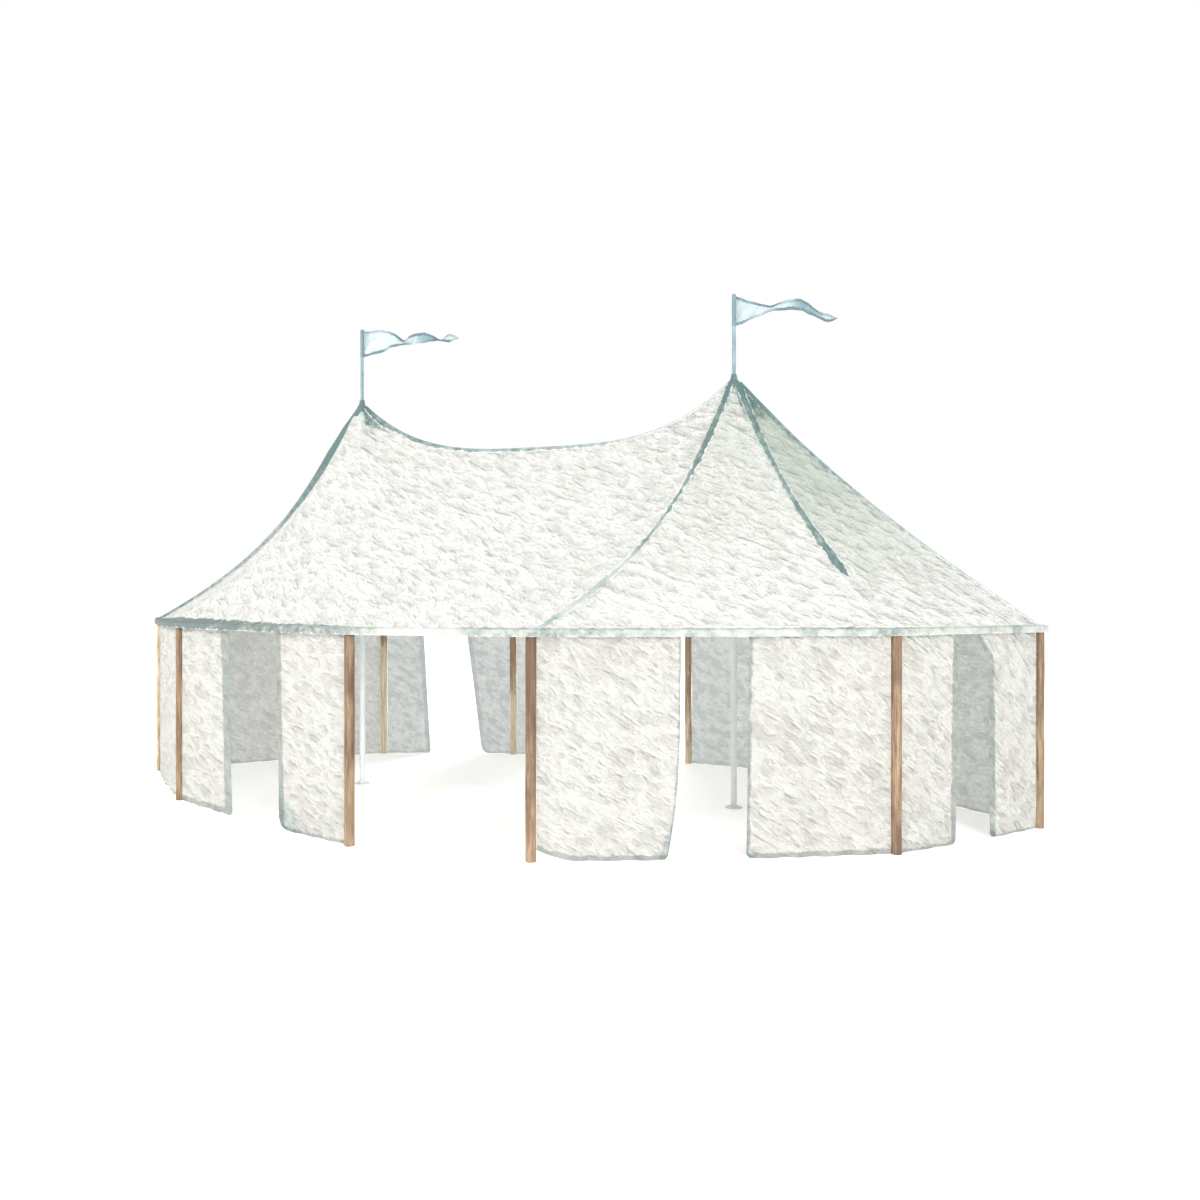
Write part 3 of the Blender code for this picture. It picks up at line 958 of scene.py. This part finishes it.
def lay_tape(name, cover, line, widths, finish, cool=0.0, other=1.0):
    """Tape sewn along plan points of the roof. widths has (share of the line, half width, rope radius,
    tone), the argument after finish is how much grey green painted shade the cloth round its top has, and
    other is the share of the half width that it has on the far side of its rope, to the right as the line
    runs."""
    columns, marks = [], {}
    end = len(line) - 1
    for i, middle in enumerate(line):
        before, after = line[max(0, i - 1)], line[min(end, i + 1)]
        forwards = (after - before).normalized()
        sideways = Vector((-forwards.y, forwards.x))
        half, rope, dark = table_value(widths, i / end)
        half = FRAY + half * (1 + TAPE_WANDER * uneven(middle, 5.0, 2.0))
        narrow = max(half * other, rope + FRAY)
        across = cover.beside(middle, sideways, half) - cover.beside(middle, -sideways, half)
        along = Vector((*after, cover.height(after))) - Vector((*before, cover.height(before)))
        up = along.cross(across).normalized()
        sides = [(sideways, half, *spot) for spot in reversed(tape_section(half, rope))]
        sides += [(-sideways, narrow, *spot) for spot in tape_section(narrow, rope)[1:]]
        column = []
        for way, edge, reach, lift in sides:
            column.append(cover.beside(middle, way, reach) + up * (lift + TAPE_LIFT))
            # The tape keeps the painted shade of the cloth round its top, fading towards the eave
            note(marks, tone=dark, edge=edge - reach, cool=cool * cool_left(i / end))
        columns.append(column)
    return sew_on(name, columns, marks, finish)


def build_tapes(cover, finish):
    tapes = []
    steps = [i / TAPE_STEPS for i in range(TAPE_STEPS + 1)]
    for name, widths in HIP_TAPES.items():
        pole = POLE_NAMES.index(name)
        start, _ = roof_top_point(pole, 0.0)
        end = eave_point(pole, 0.0) + hem_direction(pole, 0.0) * (HEM_OUTSIDE - TAPE_INSET)
        length = widths[-1][0]
        line = [start.lerp(end, TAPE_TRIM + (length - 2 * TAPE_TRIM) * step) for step in steps]
        stretched = [(at / length, half, rope, tone) for at, half, rope, tone in widths]
        # A hip's tape takes the mean painted shade of the bays on both sides
        cool = (PAINTED_BAY_SHADE[pole - 1] + PAINTED_BAY_SHADE[pole]) / 2
        other = LEFT_TAPE_OTHER if name == "left_end" else 1.0
        tapes.append(lay_tape(f"hip_tape_{name}", cover, line, stretched, finish, cool, other))
    reach = PEAK_X - RING_RADIUS - RIDGE_TRIM
    line = [Vector((-reach + 2 * reach * step, 0.0)) for step in steps]
    tapes.append(lay_tape("ridge_tape", cover, line, RIDGE_TAPE, finish))
    return tapes


# Collars round the peaks, which take the pull of the hips: how far they reach down the cloth
COLLAR_REACH = {"left": 0.05, "right": 0.04}
COLLAR_COLUMNS = 64
COLLAR_ROWS = 4
COLLAR_GAP = 0.003
COLLAR_LIFT = 0.005


def build_collar(side, peak_x, cover, finish):
    """A ring of tape cloth sewn round a peak."""
    columns, marks = [], {}
    for i in range(COLLAR_COLUMNS):
        angle = math.tau * i / COLLAR_COLUMNS
        outwards = Vector((math.cos(angle), math.sin(angle)))
        reach = COLLAR_REACH[side] * (1 + 0.35 * uneven(outwards, 3, peak_x))
        column = []
        for down in (row / COLLAR_ROWS for row in range(COLLAR_ROWS + 1)):
            plan = Vector((peak_x, 0.0)) + outwards * (RING_RADIUS + COLLAR_GAP + reach * down)
            column.append(Vector((*plan, cover.height(plan) + COLLAR_LIFT)))
            note(marks, tone=1.1, edge=2 * FRAY + reach * (1 - down))
        columns.append(column)
    return sew_on(f"peak_collar_{side}", columns, marks, finish, ring=True)


# The eave band, by pole and part of a bay from the left end round by the front: how dark it is and
# how far it reaches up the roof
BAND = (
    (0.0, 1.1, 0.07), (0.9, 1.0, 0.12), (1.2, 0.95, 0.10), (1.9, 0.6, 0.06), (2.15, 0.3, 0.04),
    (2.3, -0.2, 0.03), (2.55, -0.2, 0.03), (2.68, 0.5, 0.06), (3.0, 0.35, 0.05), (3.6, 0.25, 0.05),
    (4.0, 0.4, 0.05), (4.3, 0.3, 0.04), (5.0, 0.35, 0.04), (6.0, 0.4, 0.04), (8.0, 0.4, 0.04),
    (9.0, 0.6, 0.05), (10.0, 1.1, 0.07),
)
BAND_COLUMNS = 30
WING_ROWS = 5
BAND_OUT = HEM_OUTSIDE + 0.004  # outer face of the band
BAND_LAP = 0.045  # how far in from it the band leaves the hem and lies on the cloth


def band_section(cover, eave, hem, wing):
    """The band's section at a point of the eave, as (reach, height): over its wing from the upper
    edge, down the valance's outer face and back under it to the start. Then its foot's height."""
    top = EAVE + HEM_DEPTH
    foot = EAVE - VALANCE_DROP + 0.005 * uneven(eave, 2.2, 1.0)
    waist = (top + foot) / 2
    swing = 0.005 * uneven(eave, 3.1, 5.0)
    over = []
    for part in range(WING_ROWS + 1):
        reach = BAND_OUT - BAND_LAP - wing * (1 - part / WING_ROWS)
        over.append((reach, cover.height(eave + hem * reach)))
    section = [(reach, z + 0.009) for reach, z in over]
    section += [
        (BAND_OUT - 0.040, top + 0.004),
        (BAND_OUT - 0.010, top - 0.001),
        (BAND_OUT - 0.002, top - 0.008),
        (BAND_OUT + swing, waist),
        (BAND_OUT + swing * 2, foot),
        (BAND_OUT + swing * 2 - 0.004, foot),
        (BAND_OUT + swing - 0.005, waist),
        (BAND_OUT - 0.008, top - 0.012),
        (BAND_OUT - 0.040, top - 0.006),
    ]
    section += [(reach, z + 0.001) for reach, z in reversed(over)]
    return [*section, section[0]], foot


def build_eave_band(cover, finish):
    """Bound edge of the roof: up over the cloth, round the hem and down as a short valance."""
    sections, marks = [], {}
    for bay in range(BAYS):
        for share in (i / BAND_COLUMNS for i in range(BAND_COLUMNS)):
            eave = eave_point(bay, share)
            hem = hem_direction(bay, share)
            dark, wing = table_value(BAND, bay + share)
            tone = dark + 0.25 * uneven(eave, 1.3, 9.0)
            section, foot = band_section(cover, eave, hem, wing)
            sections.append([Vector((*(eave + hem * reach), z)) for reach, z in section])
            for reach, z in section:
                note(marks, tone=tone, edge=min(reach - section[0][0], z - foot + FRAY))
    mesh = sheet_mesh("eave_band", sections, marks, ring=True)
    weld(mesh, closed=True)
    band = add_piece("eave_band", mesh, finish)
    smooth(band, 60)
    return settle(band, "cap")


# Wall curtains

# Each curtain: its bay, and where it starts and ends along the bay in metres as (top, foot), or at the pole
# there. trim and hem are the widths of the grey edge of its free sides and of its foot, stain is the width
# and height of the grey in its free foot corner, and lining is how much blue grey painted shade its inside
# has, from its start to its end, with a paler painted lit colour where it is low. bow holds a free side
# back at the top, tied draws it aside there, corner rounds it at the foot, and raised is how far its foot
# is drawn up at the pole.
CURTAINS = {
    "wall_left_front": {"bay": 0, "hem": 0.02, "lining": (0.9, 0.7)},
    "wall_front_left_outer": {"bay": 1, "end": (1.28, 1.37), "trim": 0.17, "hem": 0.07},
    "wall_front_left_inner": {
        "bay": 1, "start": (2.30, 2.36), "trim": 0.095, "hem": 0.035, "stain": (0.46, 0.38), "corner": 0.13,
    },
    "wall_front_right_inner": {
        "bay": 3, "end": (1.50, 1.37), "bow": 3.5, "raised": 0.11,
        "trim": 0.018, "hem": 0.05, "stain": (0.09, 0.38),
    },
    "wall_front_right_outer": {
        "bay": 3, "start": (2.20, 2.17), "trim": 0.03, "hem": 0.05, "stain": (0.12, 0.10),
    },
    "wall_right_front_inner": {"bay": 4, "end": (0.88, 0.84), "trim": 0.08, "hem": 0.03},
    "wall_right_front_outer": {
        "bay": 4, "start": (1.34, 1.39), "tied": 0.34, "trim": 0.085, "hem": 0.02, "stain": (0.10, 0.08),
    },
    "wall_right_rear": {"bay": 5, "lining": (0.35, 0.05)},
    "wall_rear_right": {"bay": 6, "lining": (0.8, 0.8)},
    "wall_rear_middle": {"bay": 7, "start": (1.75, 1.80), "lining": (0.6, 0.2)},
    "wall_rear_left_inner": {
        "bay": 8, "end": (0.83, 0.56), "trim": 0.08, "hem": 0.04, "lining": (1.0, 1.0), "corner": 0.15,
    },
    "wall_rear_left_outer": {"bay": 8, "start": (1.56, 1.42), "trim": 0.07, "lining": (1.0, 0.7)},
    "wall_left_rear": {"bay": 9, "lining": (-1.2, 0.6)},
}
PLAIN = {
    "trim": 0.04, "hem": 0.03, "stain": (0.01, 0.01), "lining": (0.6, 0.6),
    "corner": 0.04, "bow": 1.0, "tied": 0.0, "raised": 0.0,
}
CURTAIN_TOP = EAVE + 0.010  # behind the eave band
POLE_GAP = 0.003
POLE_HOLD = 0.25  # how far from a pole its hold flattens the folds
RAISED_REACH = 0.45
FOLD_PITCH = 0.34
FOLD_TOP = 0.003
FOLD_FOOT = 0.012
FULLNESS = 1.02  # cloth for the folds
TIE_HEIGHT = 0.36  # how far below the eave a tied back edge comes down
NO_EDGE = 9.0  # stands for the distance from an edge that a curtain doesn't have


def curtain_span(plan, chord, up):
    """Where a curtain starts and ends, from 0 to 1 along its bay's chord, at a height from 0 to 1."""
    clear = (POLE_RADIUS + POLE_GAP) / chord
    start, end = plan.get("start"), plan.get("end")
    fall = (1 - up) ** plan["bow"]
    left = clear if start is None else (start[0] + (start[1] - start[0]) * fall) / chord
    right = 1 - clear if end is None else (end[0] + (end[1] - end[0]) * fall) / chord
    below = (1 - up) * EAVE / TIE_HEIGHT
    return left - plan["tied"] / chord * max(0.0, 1 - below) ** 1.6, right


def fold(along, up, held, seed, phase):
    """How far a curtain's soft folds stand out of its bay's line, at a place along and up it. held
    is the distance from the nearest pole."""
    swell = 0.5 + 0.5 * noise.noise(Vector((along * 0.9, up, seed)))
    depth = (FOLD_FOOT + (FOLD_TOP - FOLD_FOOT) * up) * (0.5 + swell) * min(1.0, held / POLE_HOLD)
    bend = 0.5 * noise.noise(Vector((along * 1.3, up * 0.8, seed + 9)))
    return depth * math.sin(math.tau * (along / FOLD_PITCH + bend) + phase)


def foot_height(plan, free, held):
    """Height of a curtain's foot: rounded up at a free side, and drawn up at a pole."""
    corner = plan["corner"]
    round_up = corner - math.sqrt(max(0.0, corner**2 - max(0.0, corner - free) ** 2))
    return WALL_FOOT + round_up + plan["raised"] * max(0.0, 1 - held / RAISED_REACH) ** 2


def build_curtain(name, outer, lining):
    plan = PLAIN | CURTAINS[name]
    bay = plan["bay"]
    chord = (pole_at(bay + 1) - pole_at(bay)).length
    left, right = curtain_span(plan, chord, 0.5)
    length = (right - left) * chord
    count = max(8, round(length / WALL_COLUMN))
    draw = random.Random(name)
    phase = draw.uniform(0, math.tau)
    seed = draw.uniform(0, 50)
    near, far = plan["lining"]
    wide, tall = plan["stain"]
    columns, marks = [], {}
    for across in (i / count for i in range(count + 1)):
        # Share of blue grey painted shade on the inside, across the curtain
        blue = min(1.0, max(0.0, near + (far - near) * across))
        column = []
        for up in (j / WALL_ROWS for j in range(WALL_ROWS + 1)):
            left, right = curtain_span(plan, chord, up)
            share = left + (right - left) * across
            sides = {"start": (share - left) * chord, "end": (right - share) * chord}
            free = min(away if side in plan else NO_EDGE for side, away in sides.items())
            held = min(NO_EDGE if side in plan else away for side, away in sides.items())
            low = foot_height(plan, free, held)
            height = low + (CURTAIN_TOP - low) * up
            out = eave_normal(bay, share) * fold(sides["start"], up, held, seed, phase)
            column.append(Vector((*(eave_point(bay, share) + out), height)))
            stain = 1 - math.hypot(free / wide, (height - WALL_FOOT) / tall)
            note(marks, side=free, foot=height - low, top=CURTAIN_TOP - height)
            note(marks, trim=plan["trim"], hem=plan["hem"], lining=blue, stain=max(-1.0, stain))
        columns.append(column)
    outwards = Vector((*eave_normal(bay, 0.5), 0.0))
    piece_name = name.replace("wall", "curtain")
    mesh = sheet_mesh(piece_name, columns, marks, outwards=outwards)
    curtain = add_piece(piece_name, mesh, outer, lining)
    thicken(curtain, WALL_THICK, second_material=1)
    settle(curtain, "wall_cloth", name)
    flat = (round(length * FULLNESS, 2), round(CURTAIN_TOP - WALL_FOOT, 2))


# Pennants

PENNANT_HOIST = 0.385
PENNANT_TAIL = 0.135
PENNANT_BODY = 0.44  # share of the length where the tail starts
PENNANT_TAPER = {"left": 1.6, "right": 0.8}  # how full the body is cut
PENNANT_THICK = 0.003
PENNANT_COLUMNS = 96
PENNANT_ROWS = 14
RIPPLE_DEPTH = 0.010
RIPPLE_PITCH = 0.21
SLEEVE_RADIUS = STAFF_RADIUS + 0.002
SLEEVE_FOOT = 0.395  # below the staff's top
SLEEVE_START = -230  # degrees round the staff from the cloth
SLEEVE_TURN = 320
SLEEVE_STEPS = 16

# How each pennant flies: distance from the staff, its upper and lower edge below the staff's top,
# and the sway of its middle to the rear
PENNANT_FLIGHT = {
    "left": (
        (0.0, 0.010, 0.395, 0.026), (0.10, 0.012, 0.378, 0.034), (0.30, 0.028, 0.345, 0.010),
        (0.50, 0.090, 0.300, -0.020), (0.57, 0.140, 0.292, -0.005), (0.64, 0.186, 0.284, 0.010),
        (0.71, 0.140, 0.263, 0.040), (0.80, 0.114, 0.255, 0.050), (0.95, 0.118, 0.262, 0.010),
        (1.09, 0.165, 0.268, -0.020), (1.21, 0.224, 0.270, 0.0), (1.30, 0.172, 0.275, 0.030),
        (1.38, 0.166, 0.275, 0.030), (1.48, 0.226, 0.262, 0.020),
    ),
    "right": (
        (0.0, 0.010, 0.395, 0.026), (0.137, 0.062, 0.360, 0.036), (0.318, 0.122, 0.313, 0.020),
        (0.435, 0.165, 0.288, -0.010), (0.54, 0.150, 0.262, 0.0), (0.70, 0.117, 0.248, 0.040),
        (0.82, 0.124, 0.266, 0.045), (0.92, 0.200, 0.330, 0.010), (1.03, 0.300, 0.400, -0.020),
        (1.12, 0.335, 0.445, 0.0), (1.20, 0.358, 0.440, 0.025), (1.27, 0.388, 0.414, 0.030),
    ),
}

# How dark each pennant is, by distance from the staff: its upper hem, its lower hem, its cloth
PENNANT_INK = {
    "left": (
        (0.0, 0.55, 0.9, 0.15), (0.3, 0.5, 1.0, 0.1), (0.38, 0.5, 0.6, 0.05), (0.44, 0.7, 0.5, 0.05),
        (0.50, 0.8, 1.0, 0.15), (0.62, 1.1, 1.0, 0.35), (0.72, 1.1, 0.5, 0.4), (0.80, 1.1, 0.2, 0.35),
        (0.95, 1.0, 0.3, 0.75), (1.10, 1.0, 0.7, 0.95), (1.2, 1.1, 1.0, 0.8), (1.32, 0.6, 0.8, 0.35),
        (1.48, 0.3, 0.3, 0.1),
    ),
    "right": (
        (0.0, 0.7, 0.7, 0.4), (0.2, 0.7, 0.6, 0.25), (0.34, 1.0, 0.4, 0.2), (0.48, 1.1, 0.5, 0.3),
        (0.6, 0.5, 1.1, 0.2), (0.74, 0.4, 1.0, 0.6), (0.84, 1.0, 0.7, 0.95), (0.98, 1.0, 1.0, 0.9),
        (1.1, 0.5, 1.1, 0.4), (1.2, 0.4, 0.9, 0.2), (1.27, 0.3, 0.4, 0.1),
    ),
}


def pennant_width(side, share):
    """Width of the cloth as cut: a tapering body, then a narrow tail."""
    body = 1 - min(1.0, share / PENNANT_BODY) ** PENNANT_TAPER[side]
    tail = PENNANT_TAIL * (1 - 0.2 * share)
    return tail + (PENNANT_HOIST - tail) * body


def build_pennant(side, x, finish):
    """A narrow pennant streaming from a sleeve on its staff, turning over in its tail."""
    flight = PENNANT_FLIGHT[side]
    length = flight[-1][0]
    columns, marks = [], {}
    rises = [j / PENNANT_ROWS for j in range(PENNANT_ROWS + 1)]
    for i in range(SLEEVE_STEPS):
        angle = math.radians(SLEEVE_START + SLEEVE_TURN * i / SLEEVE_STEPS)
        around = Vector((x + SLEEVE_RADIUS * math.cos(angle), SLEEVE_RADIUS * math.sin(angle), 0.0))
        foot = STAFF_TOP - SLEEVE_FOOT
        columns.append([around + Vector((0, 0, foot + PENNANT_HOIST * rise)) for rise in rises])
        for _ in rises:
            note(marks, upper=1.0, lower=1.0, upper_ink=0.0, lower_ink=0.0, wash=0.9)
    middles = []
    area = PENNANT_HOIST * SLEEVE_RADIUS * math.radians(SLEEVE_TURN)
    for i in range(PENNANT_COLUMNS + 1):
        distance = length * i / PENNANT_COLUMNS
        upper, lower, sway = curved(flight, distance)
        upper_ink, lower_ink, wash = table_value(PENNANT_INK[side], distance)
        inks = {"upper_ink": upper_ink, "lower_ink": lower_ink, "wash": wash}
        half = (lower - upper) / 2
        cut = pennant_width(side, distance / length) / 2
        lean = math.sqrt(max(0.0, cut**2 - half**2))
        column = []
        for across in (2 * rise - 1 for rise in rises):
            z = -(upper + lower) / 2 + across * half
            ripple = RIPPLE_DEPTH * math.sin(math.tau * (distance * 1.1 - z) / RIPPLE_PITCH)
            y = sway + across * lean + ripple * min(1.0, distance / 0.1)
            column.append(Vector((x + distance, y, STAFF_TOP + z)))
            note(marks, upper=half * (1 - across), lower=half * (1 + across), **inks)
        columns.append(column)
        middles.append(column[PENNANT_ROWS // 2])
        if i > 0:
            area += (middles[-1] - middles[-2]).length * 2 * cut
    name = f"pennant_cloth_{side}"
    mesh = sheet_mesh(name, columns, marks, outwards=Vector((0, -1, 0)))
    pennant = add_piece(name, mesh, finish)
    thicken(pennant, PENNANT_THICK)
    settle(pennant, "pennant_cloth", f"pennant_{side}")


# Poles, masts, caps and staffs

POLE_STEPS = 14
POLE_TIP = EAVE - 0.012
MAST_RADIUS = 0.038
PLATE_RADIUS = 0.110
PLATE_THICK = 0.010
HEAD_RADIUS = RING_RADIUS - 0.002
HEAD_DEPTH = 0.115
CAP_TOP = 0.034
CAP_HEIGHT = 0.096

# How far each side pole is rubbed to tan, by share of its height from the foot. Values above 1 are paler:
# partly bleaching and partly painted light on the rear poles, which stand in shade. Low values at some tops
# are partly painted shade under the eave band
POLE_WEAR_AND_LIGHT = {
    "left_end": ((0.0, 1.25), (0.5, 1.3), (1.0, 1.35)),
    "front_left_outer": ((0.0, 0.45), (0.3, 0.3), (0.5, 0.42), (0.7, 0.3), (0.9, 0.16), (1.0, 0.1)),
    "front_left": ((0.0, 0.75), (0.1, 0.62), (0.3, 0.37), (0.5, 0.22), (0.7, 0.16), (1.0, 0.12)),
    "front_right": ((0.0, 0.75), (0.1, 0.5), (0.3, 0.15), (0.5, 0.3), (0.7, -0.1), (1.0, -0.35)),
    "front_right_outer": ((0.0, 0.1), (0.12, 0.2), (0.22, 0.5), (0.5, 0.5), (0.7, 0.2), (1.0, 0.15)),
    "right_end": (
        (0.0, 0.75), (0.1, 0.65), (0.3, 0.45), (0.5, 0.42), (0.62, 0.25), (0.7, 0.2), (1.0, 0.3),
    ),
    "rear_right_outer": ((0.0, 1.2), (0.5, 0.8), (1.0, 0.5)),
    "rear_right": ((0.0, 1.6), (0.1, 1.4), (0.3, 1.25), (0.5, 1.0), (1.0, 0.95)),
    "rear_left": ((0.0, 1.75), (0.3, 1.6), (0.5, 1.2), (0.7, 0.8), (1.0, 0.85)),
    "rear_left_outer": ((0.0, 2.0), (0.5, 2.1), (0.7, 1.8), (0.8, 1.1), (0.9, 0.55), (1.0, 0.3)),
}


def build_side_poles(timber):
    for index, name in enumerate(POLE_NAMES):
        draw = random.Random(index)
        profile = [(POLE_RADIUS - 0.004, 0.0), (POLE_RADIUS, 0.006)]
        for i in range(1, POLE_STEPS):
            radius = POLE_RADIUS * draw.uniform(0.965, 1.0)
            profile.append((radius, (POLE_TIP - 0.008) * i / POLE_STEPS))
        profile += [(POLE_RADIUS * 0.98, POLE_TIP - 0.008), (POLE_RADIUS * 0.9, POLE_TIP)]
        pole = drawn_up(f"pole_{name}", pole_at(index), profile, timber, wander=0.0012, seed=index)
        wear_and_light = [table_value(POLE_WEAR_AND_LIGHT[name], vertex.co.z / EAVE)[0] for vertex in pole.data.vertices]
        pole.data.attributes.new("wear_and_light", "FLOAT", "POINT").data.foreach_set("value", wear_and_light)
        settle(pole, "pole_wood", f"side_pole_{name}")


def build_mast(side, x, paint):
    profile = [
        (PLATE_RADIUS - 0.002, 0.0),
        (PLATE_RADIUS, 0.002),
        (PLATE_RADIUS, PLATE_THICK - 0.002),
        (PLATE_RADIUS - 0.002, PLATE_THICK),
        (MAST_RADIUS + 0.006, PLATE_THICK + 0.002),
        (MAST_RADIUS + 0.004, 0.05),
        (MAST_RADIUS, 0.054),
        (MAST_RADIUS, 2.6),
        (MAST_RADIUS, PEAK - 0.18),
        (HEAD_RADIUS - 0.006, PEAK - HEAD_DEPTH - 0.005),
        (HEAD_RADIUS, PEAK - HEAD_DEPTH),
        (HEAD_RADIUS, PEAK - 0.004),
        (HEAD_RADIUS - 0.004, PEAK),
    ]
    settle(drawn_up(f"mast_{side}", (x, 0.0), profile, paint), "mast", f"centre_pole_{side}")


def build_cap(side, x, paint):
    reach = RING_RADIUS - CAP_TOP
    profile = [
        (RING_RADIUS + 0.004, PEAK + 0.0005),
        (RING_RADIUS + 0.005, PEAK + 0.004),
        (CAP_TOP + reach * 0.75, PEAK + 0.014),
        (CAP_TOP + reach * 0.45, PEAK + 0.032),
        (CAP_TOP + reach * 0.18, PEAK + 0.060),
        (CAP_TOP, PEAK + CAP_HEIGHT - 0.006),
        (CAP_TOP - 0.003, PEAK + CAP_HEIGHT),
    ]
    settle(drawn_up(f"cap_{side}", (x, 0.0), profile, paint), "cap", f"peak_cap_{side}")


def build_staff(side, x, paint):
    profile = [
        (STAFF_RADIUS, PEAK + 0.05),
        (STAFF_RADIUS, PEAK + 0.5),
        (STAFF_RADIUS - 0.002, STAFF_TOP - 0.4),
        (STAFF_RADIUS - 0.003, STAFF_TOP - 0.008),
        (STAFF_RADIUS - 0.008, STAFF_TOP),
    ]
    staff = drawn_up(f"staff_{side}", (x, 0.0), profile, paint, sides=24)
    settle(staff, "staff", f"flagstaff_{side}")


# Camera, floor and light

# The camera stands this far from the tent's middle, turned from -Y towards +X, and looks towards the
# middle apart from its yaw and pitch, as fitted to the drawing
CAMERA_AZIMUTH = math.radians(20.5032)
CAMERA_DISTANCE = 12.199
CAMERA_HEIGHT = 2.6211
CAMERA_YAW = math.radians(-3.9905)
CAMERA_PITCH = math.radians(0.0587)
FOCAL_PIXELS = 908.7444
PHOTO_PIXELS = 1200
SENSOR = 36.0
CLIP_END = 400.0

FLOOR_SIZE = 160.0
FLOOR_DROP = 0.001
FLOOR_GLOW = 0.25

# Studio lights: place, size, power and tint. All point at the middle of the tent
LIGHT_TARGET = (0, 0, 1.5)
LIGHTS = {
    "key": ((-15.0, -13.0, 12.0), 4.0, 2450.0, (1.0, 0.988, 0.968)),
    "fill": ((13.0, -17.0, 7.0), 9.0, 2800.0, (1.0, 0.99, 0.975)),
    "back": ((0.0, 18.0, 9.0), 12.0, 2300.0, (1.0, 1.0, 1.0)),
}


def build_camera():
    lens = bpy.data.cameras.new("camera")
    lens.sensor_width = SENSOR
    lens.lens = SENSOR * FOCAL_PIXELS / PHOTO_PIXELS
    lens.clip_end = CLIP_END
    camera = bpy.data.objects.new("camera", lens)
    bpy.context.scene.collection.objects.link(camera)
    camera.location = (
        math.sin(CAMERA_AZIMUTH) * CAMERA_DISTANCE,
        -math.cos(CAMERA_AZIMUTH) * CAMERA_DISTANCE,
        CAMERA_HEIGHT,
    )
    camera.rotation_euler = (math.pi / 2 - CAMERA_PITCH, 0.0, CAMERA_AZIMUTH + CAMERA_YAW)
    bpy.context.scene.camera = camera


def build_floor():
    deselect()
    bpy.ops.mesh.primitive_plane_add(size=FLOOR_SIZE, location=(0, 0, -FLOOR_DROP))
    floor = bpy.context.object
    floor.name = "floor"
    finish = Finish("floor_white", 0.9)
    finish.colour((0.93, 0.93, 0.93, 1.0))
    finish.feed(finish.shader.inputs["Emission Color"], (1.0, 1.0, 1.0, 1.0))
    finish.feed(finish.shader.inputs["Emission Strength"], FLOOR_GLOW)
    floor.data.materials.append(finish.material)


def build_light():
    world = bpy.data.worlds.new("studio")
    bpy.context.scene.world = world
    world.use_nodes = True
    background = world.node_tree.nodes["Background"]
    background.inputs["Color"].default_value = (1.0, 1.0, 1.0, 1.0)
    background.inputs["Strength"].default_value = 1.0
    for name, (place, size, power, tint) in LIGHTS.items():
        light = bpy.data.lights.new(name, "AREA")
        light.shape = "DISK"
        light.size = size
        light.energy = power
        light.color = tint
        lamp = bpy.data.objects.new(name, light)
        bpy.context.scene.collection.objects.link(lamp)
        lamp.location = place
        lamp.rotation_euler = (Vector(LIGHT_TARGET) - Vector(place)).to_track_quat("-Z", "Y").to_euler()
    bpy.context.scene.view_settings.view_transform = "Standard"


def build_tent():
    webbing = webbing_finish("slate_webbing", (0.40, 0.445, 0.425), (0.080, 0.138, 0.135), 1.6)
    binding = webbing_finish("grey_binding", (0.44, 0.47, 0.435), (0.12, 0.155, 0.148), 2.2)
    mast_paint = paint_finish("mast_paint", (0.70, 0.74, 0.75), (0.79, 0.82, 0.82), 0.5)
    staff_paint = paint_finish("staff_paint", (0.13, 0.20, 0.23), (0.24, 0.33, 0.36), 0.55)
    cap_paint = paint_finish("cap_paint", (0.075, 0.12, 0.135), (0.13, 0.19, 0.21), 0.65)

    roof, cover = build_roof(roof_cloth_finish(), roof_lining_finish())
    sewn_on = build_tapes(cover, webbing)
    sewn_on.append(build_eave_band(cover, binding))
    pennant_cloth = pennant_finish()
    for side, sign in (("left", -1), ("right", 1)):
        x = sign * PEAK_X
        sewn_on.append(build_collar(side, x, cover, webbing))
        build_mast(side, x, mast_paint)
        build_cap(side, x, cap_paint)
        build_staff(side, x, staff_paint)
        build_pennant(side, x, pennant_cloth)
    wall_outer, wall_inner = wall_cloth_finish(), wall_lining_finish()
    for name in CURTAINS:
        build_curtain(name, wall_outer, wall_inner)
    build_side_poles(timber_finish())


build_camera()
build_tent()
build_floor()
build_light()
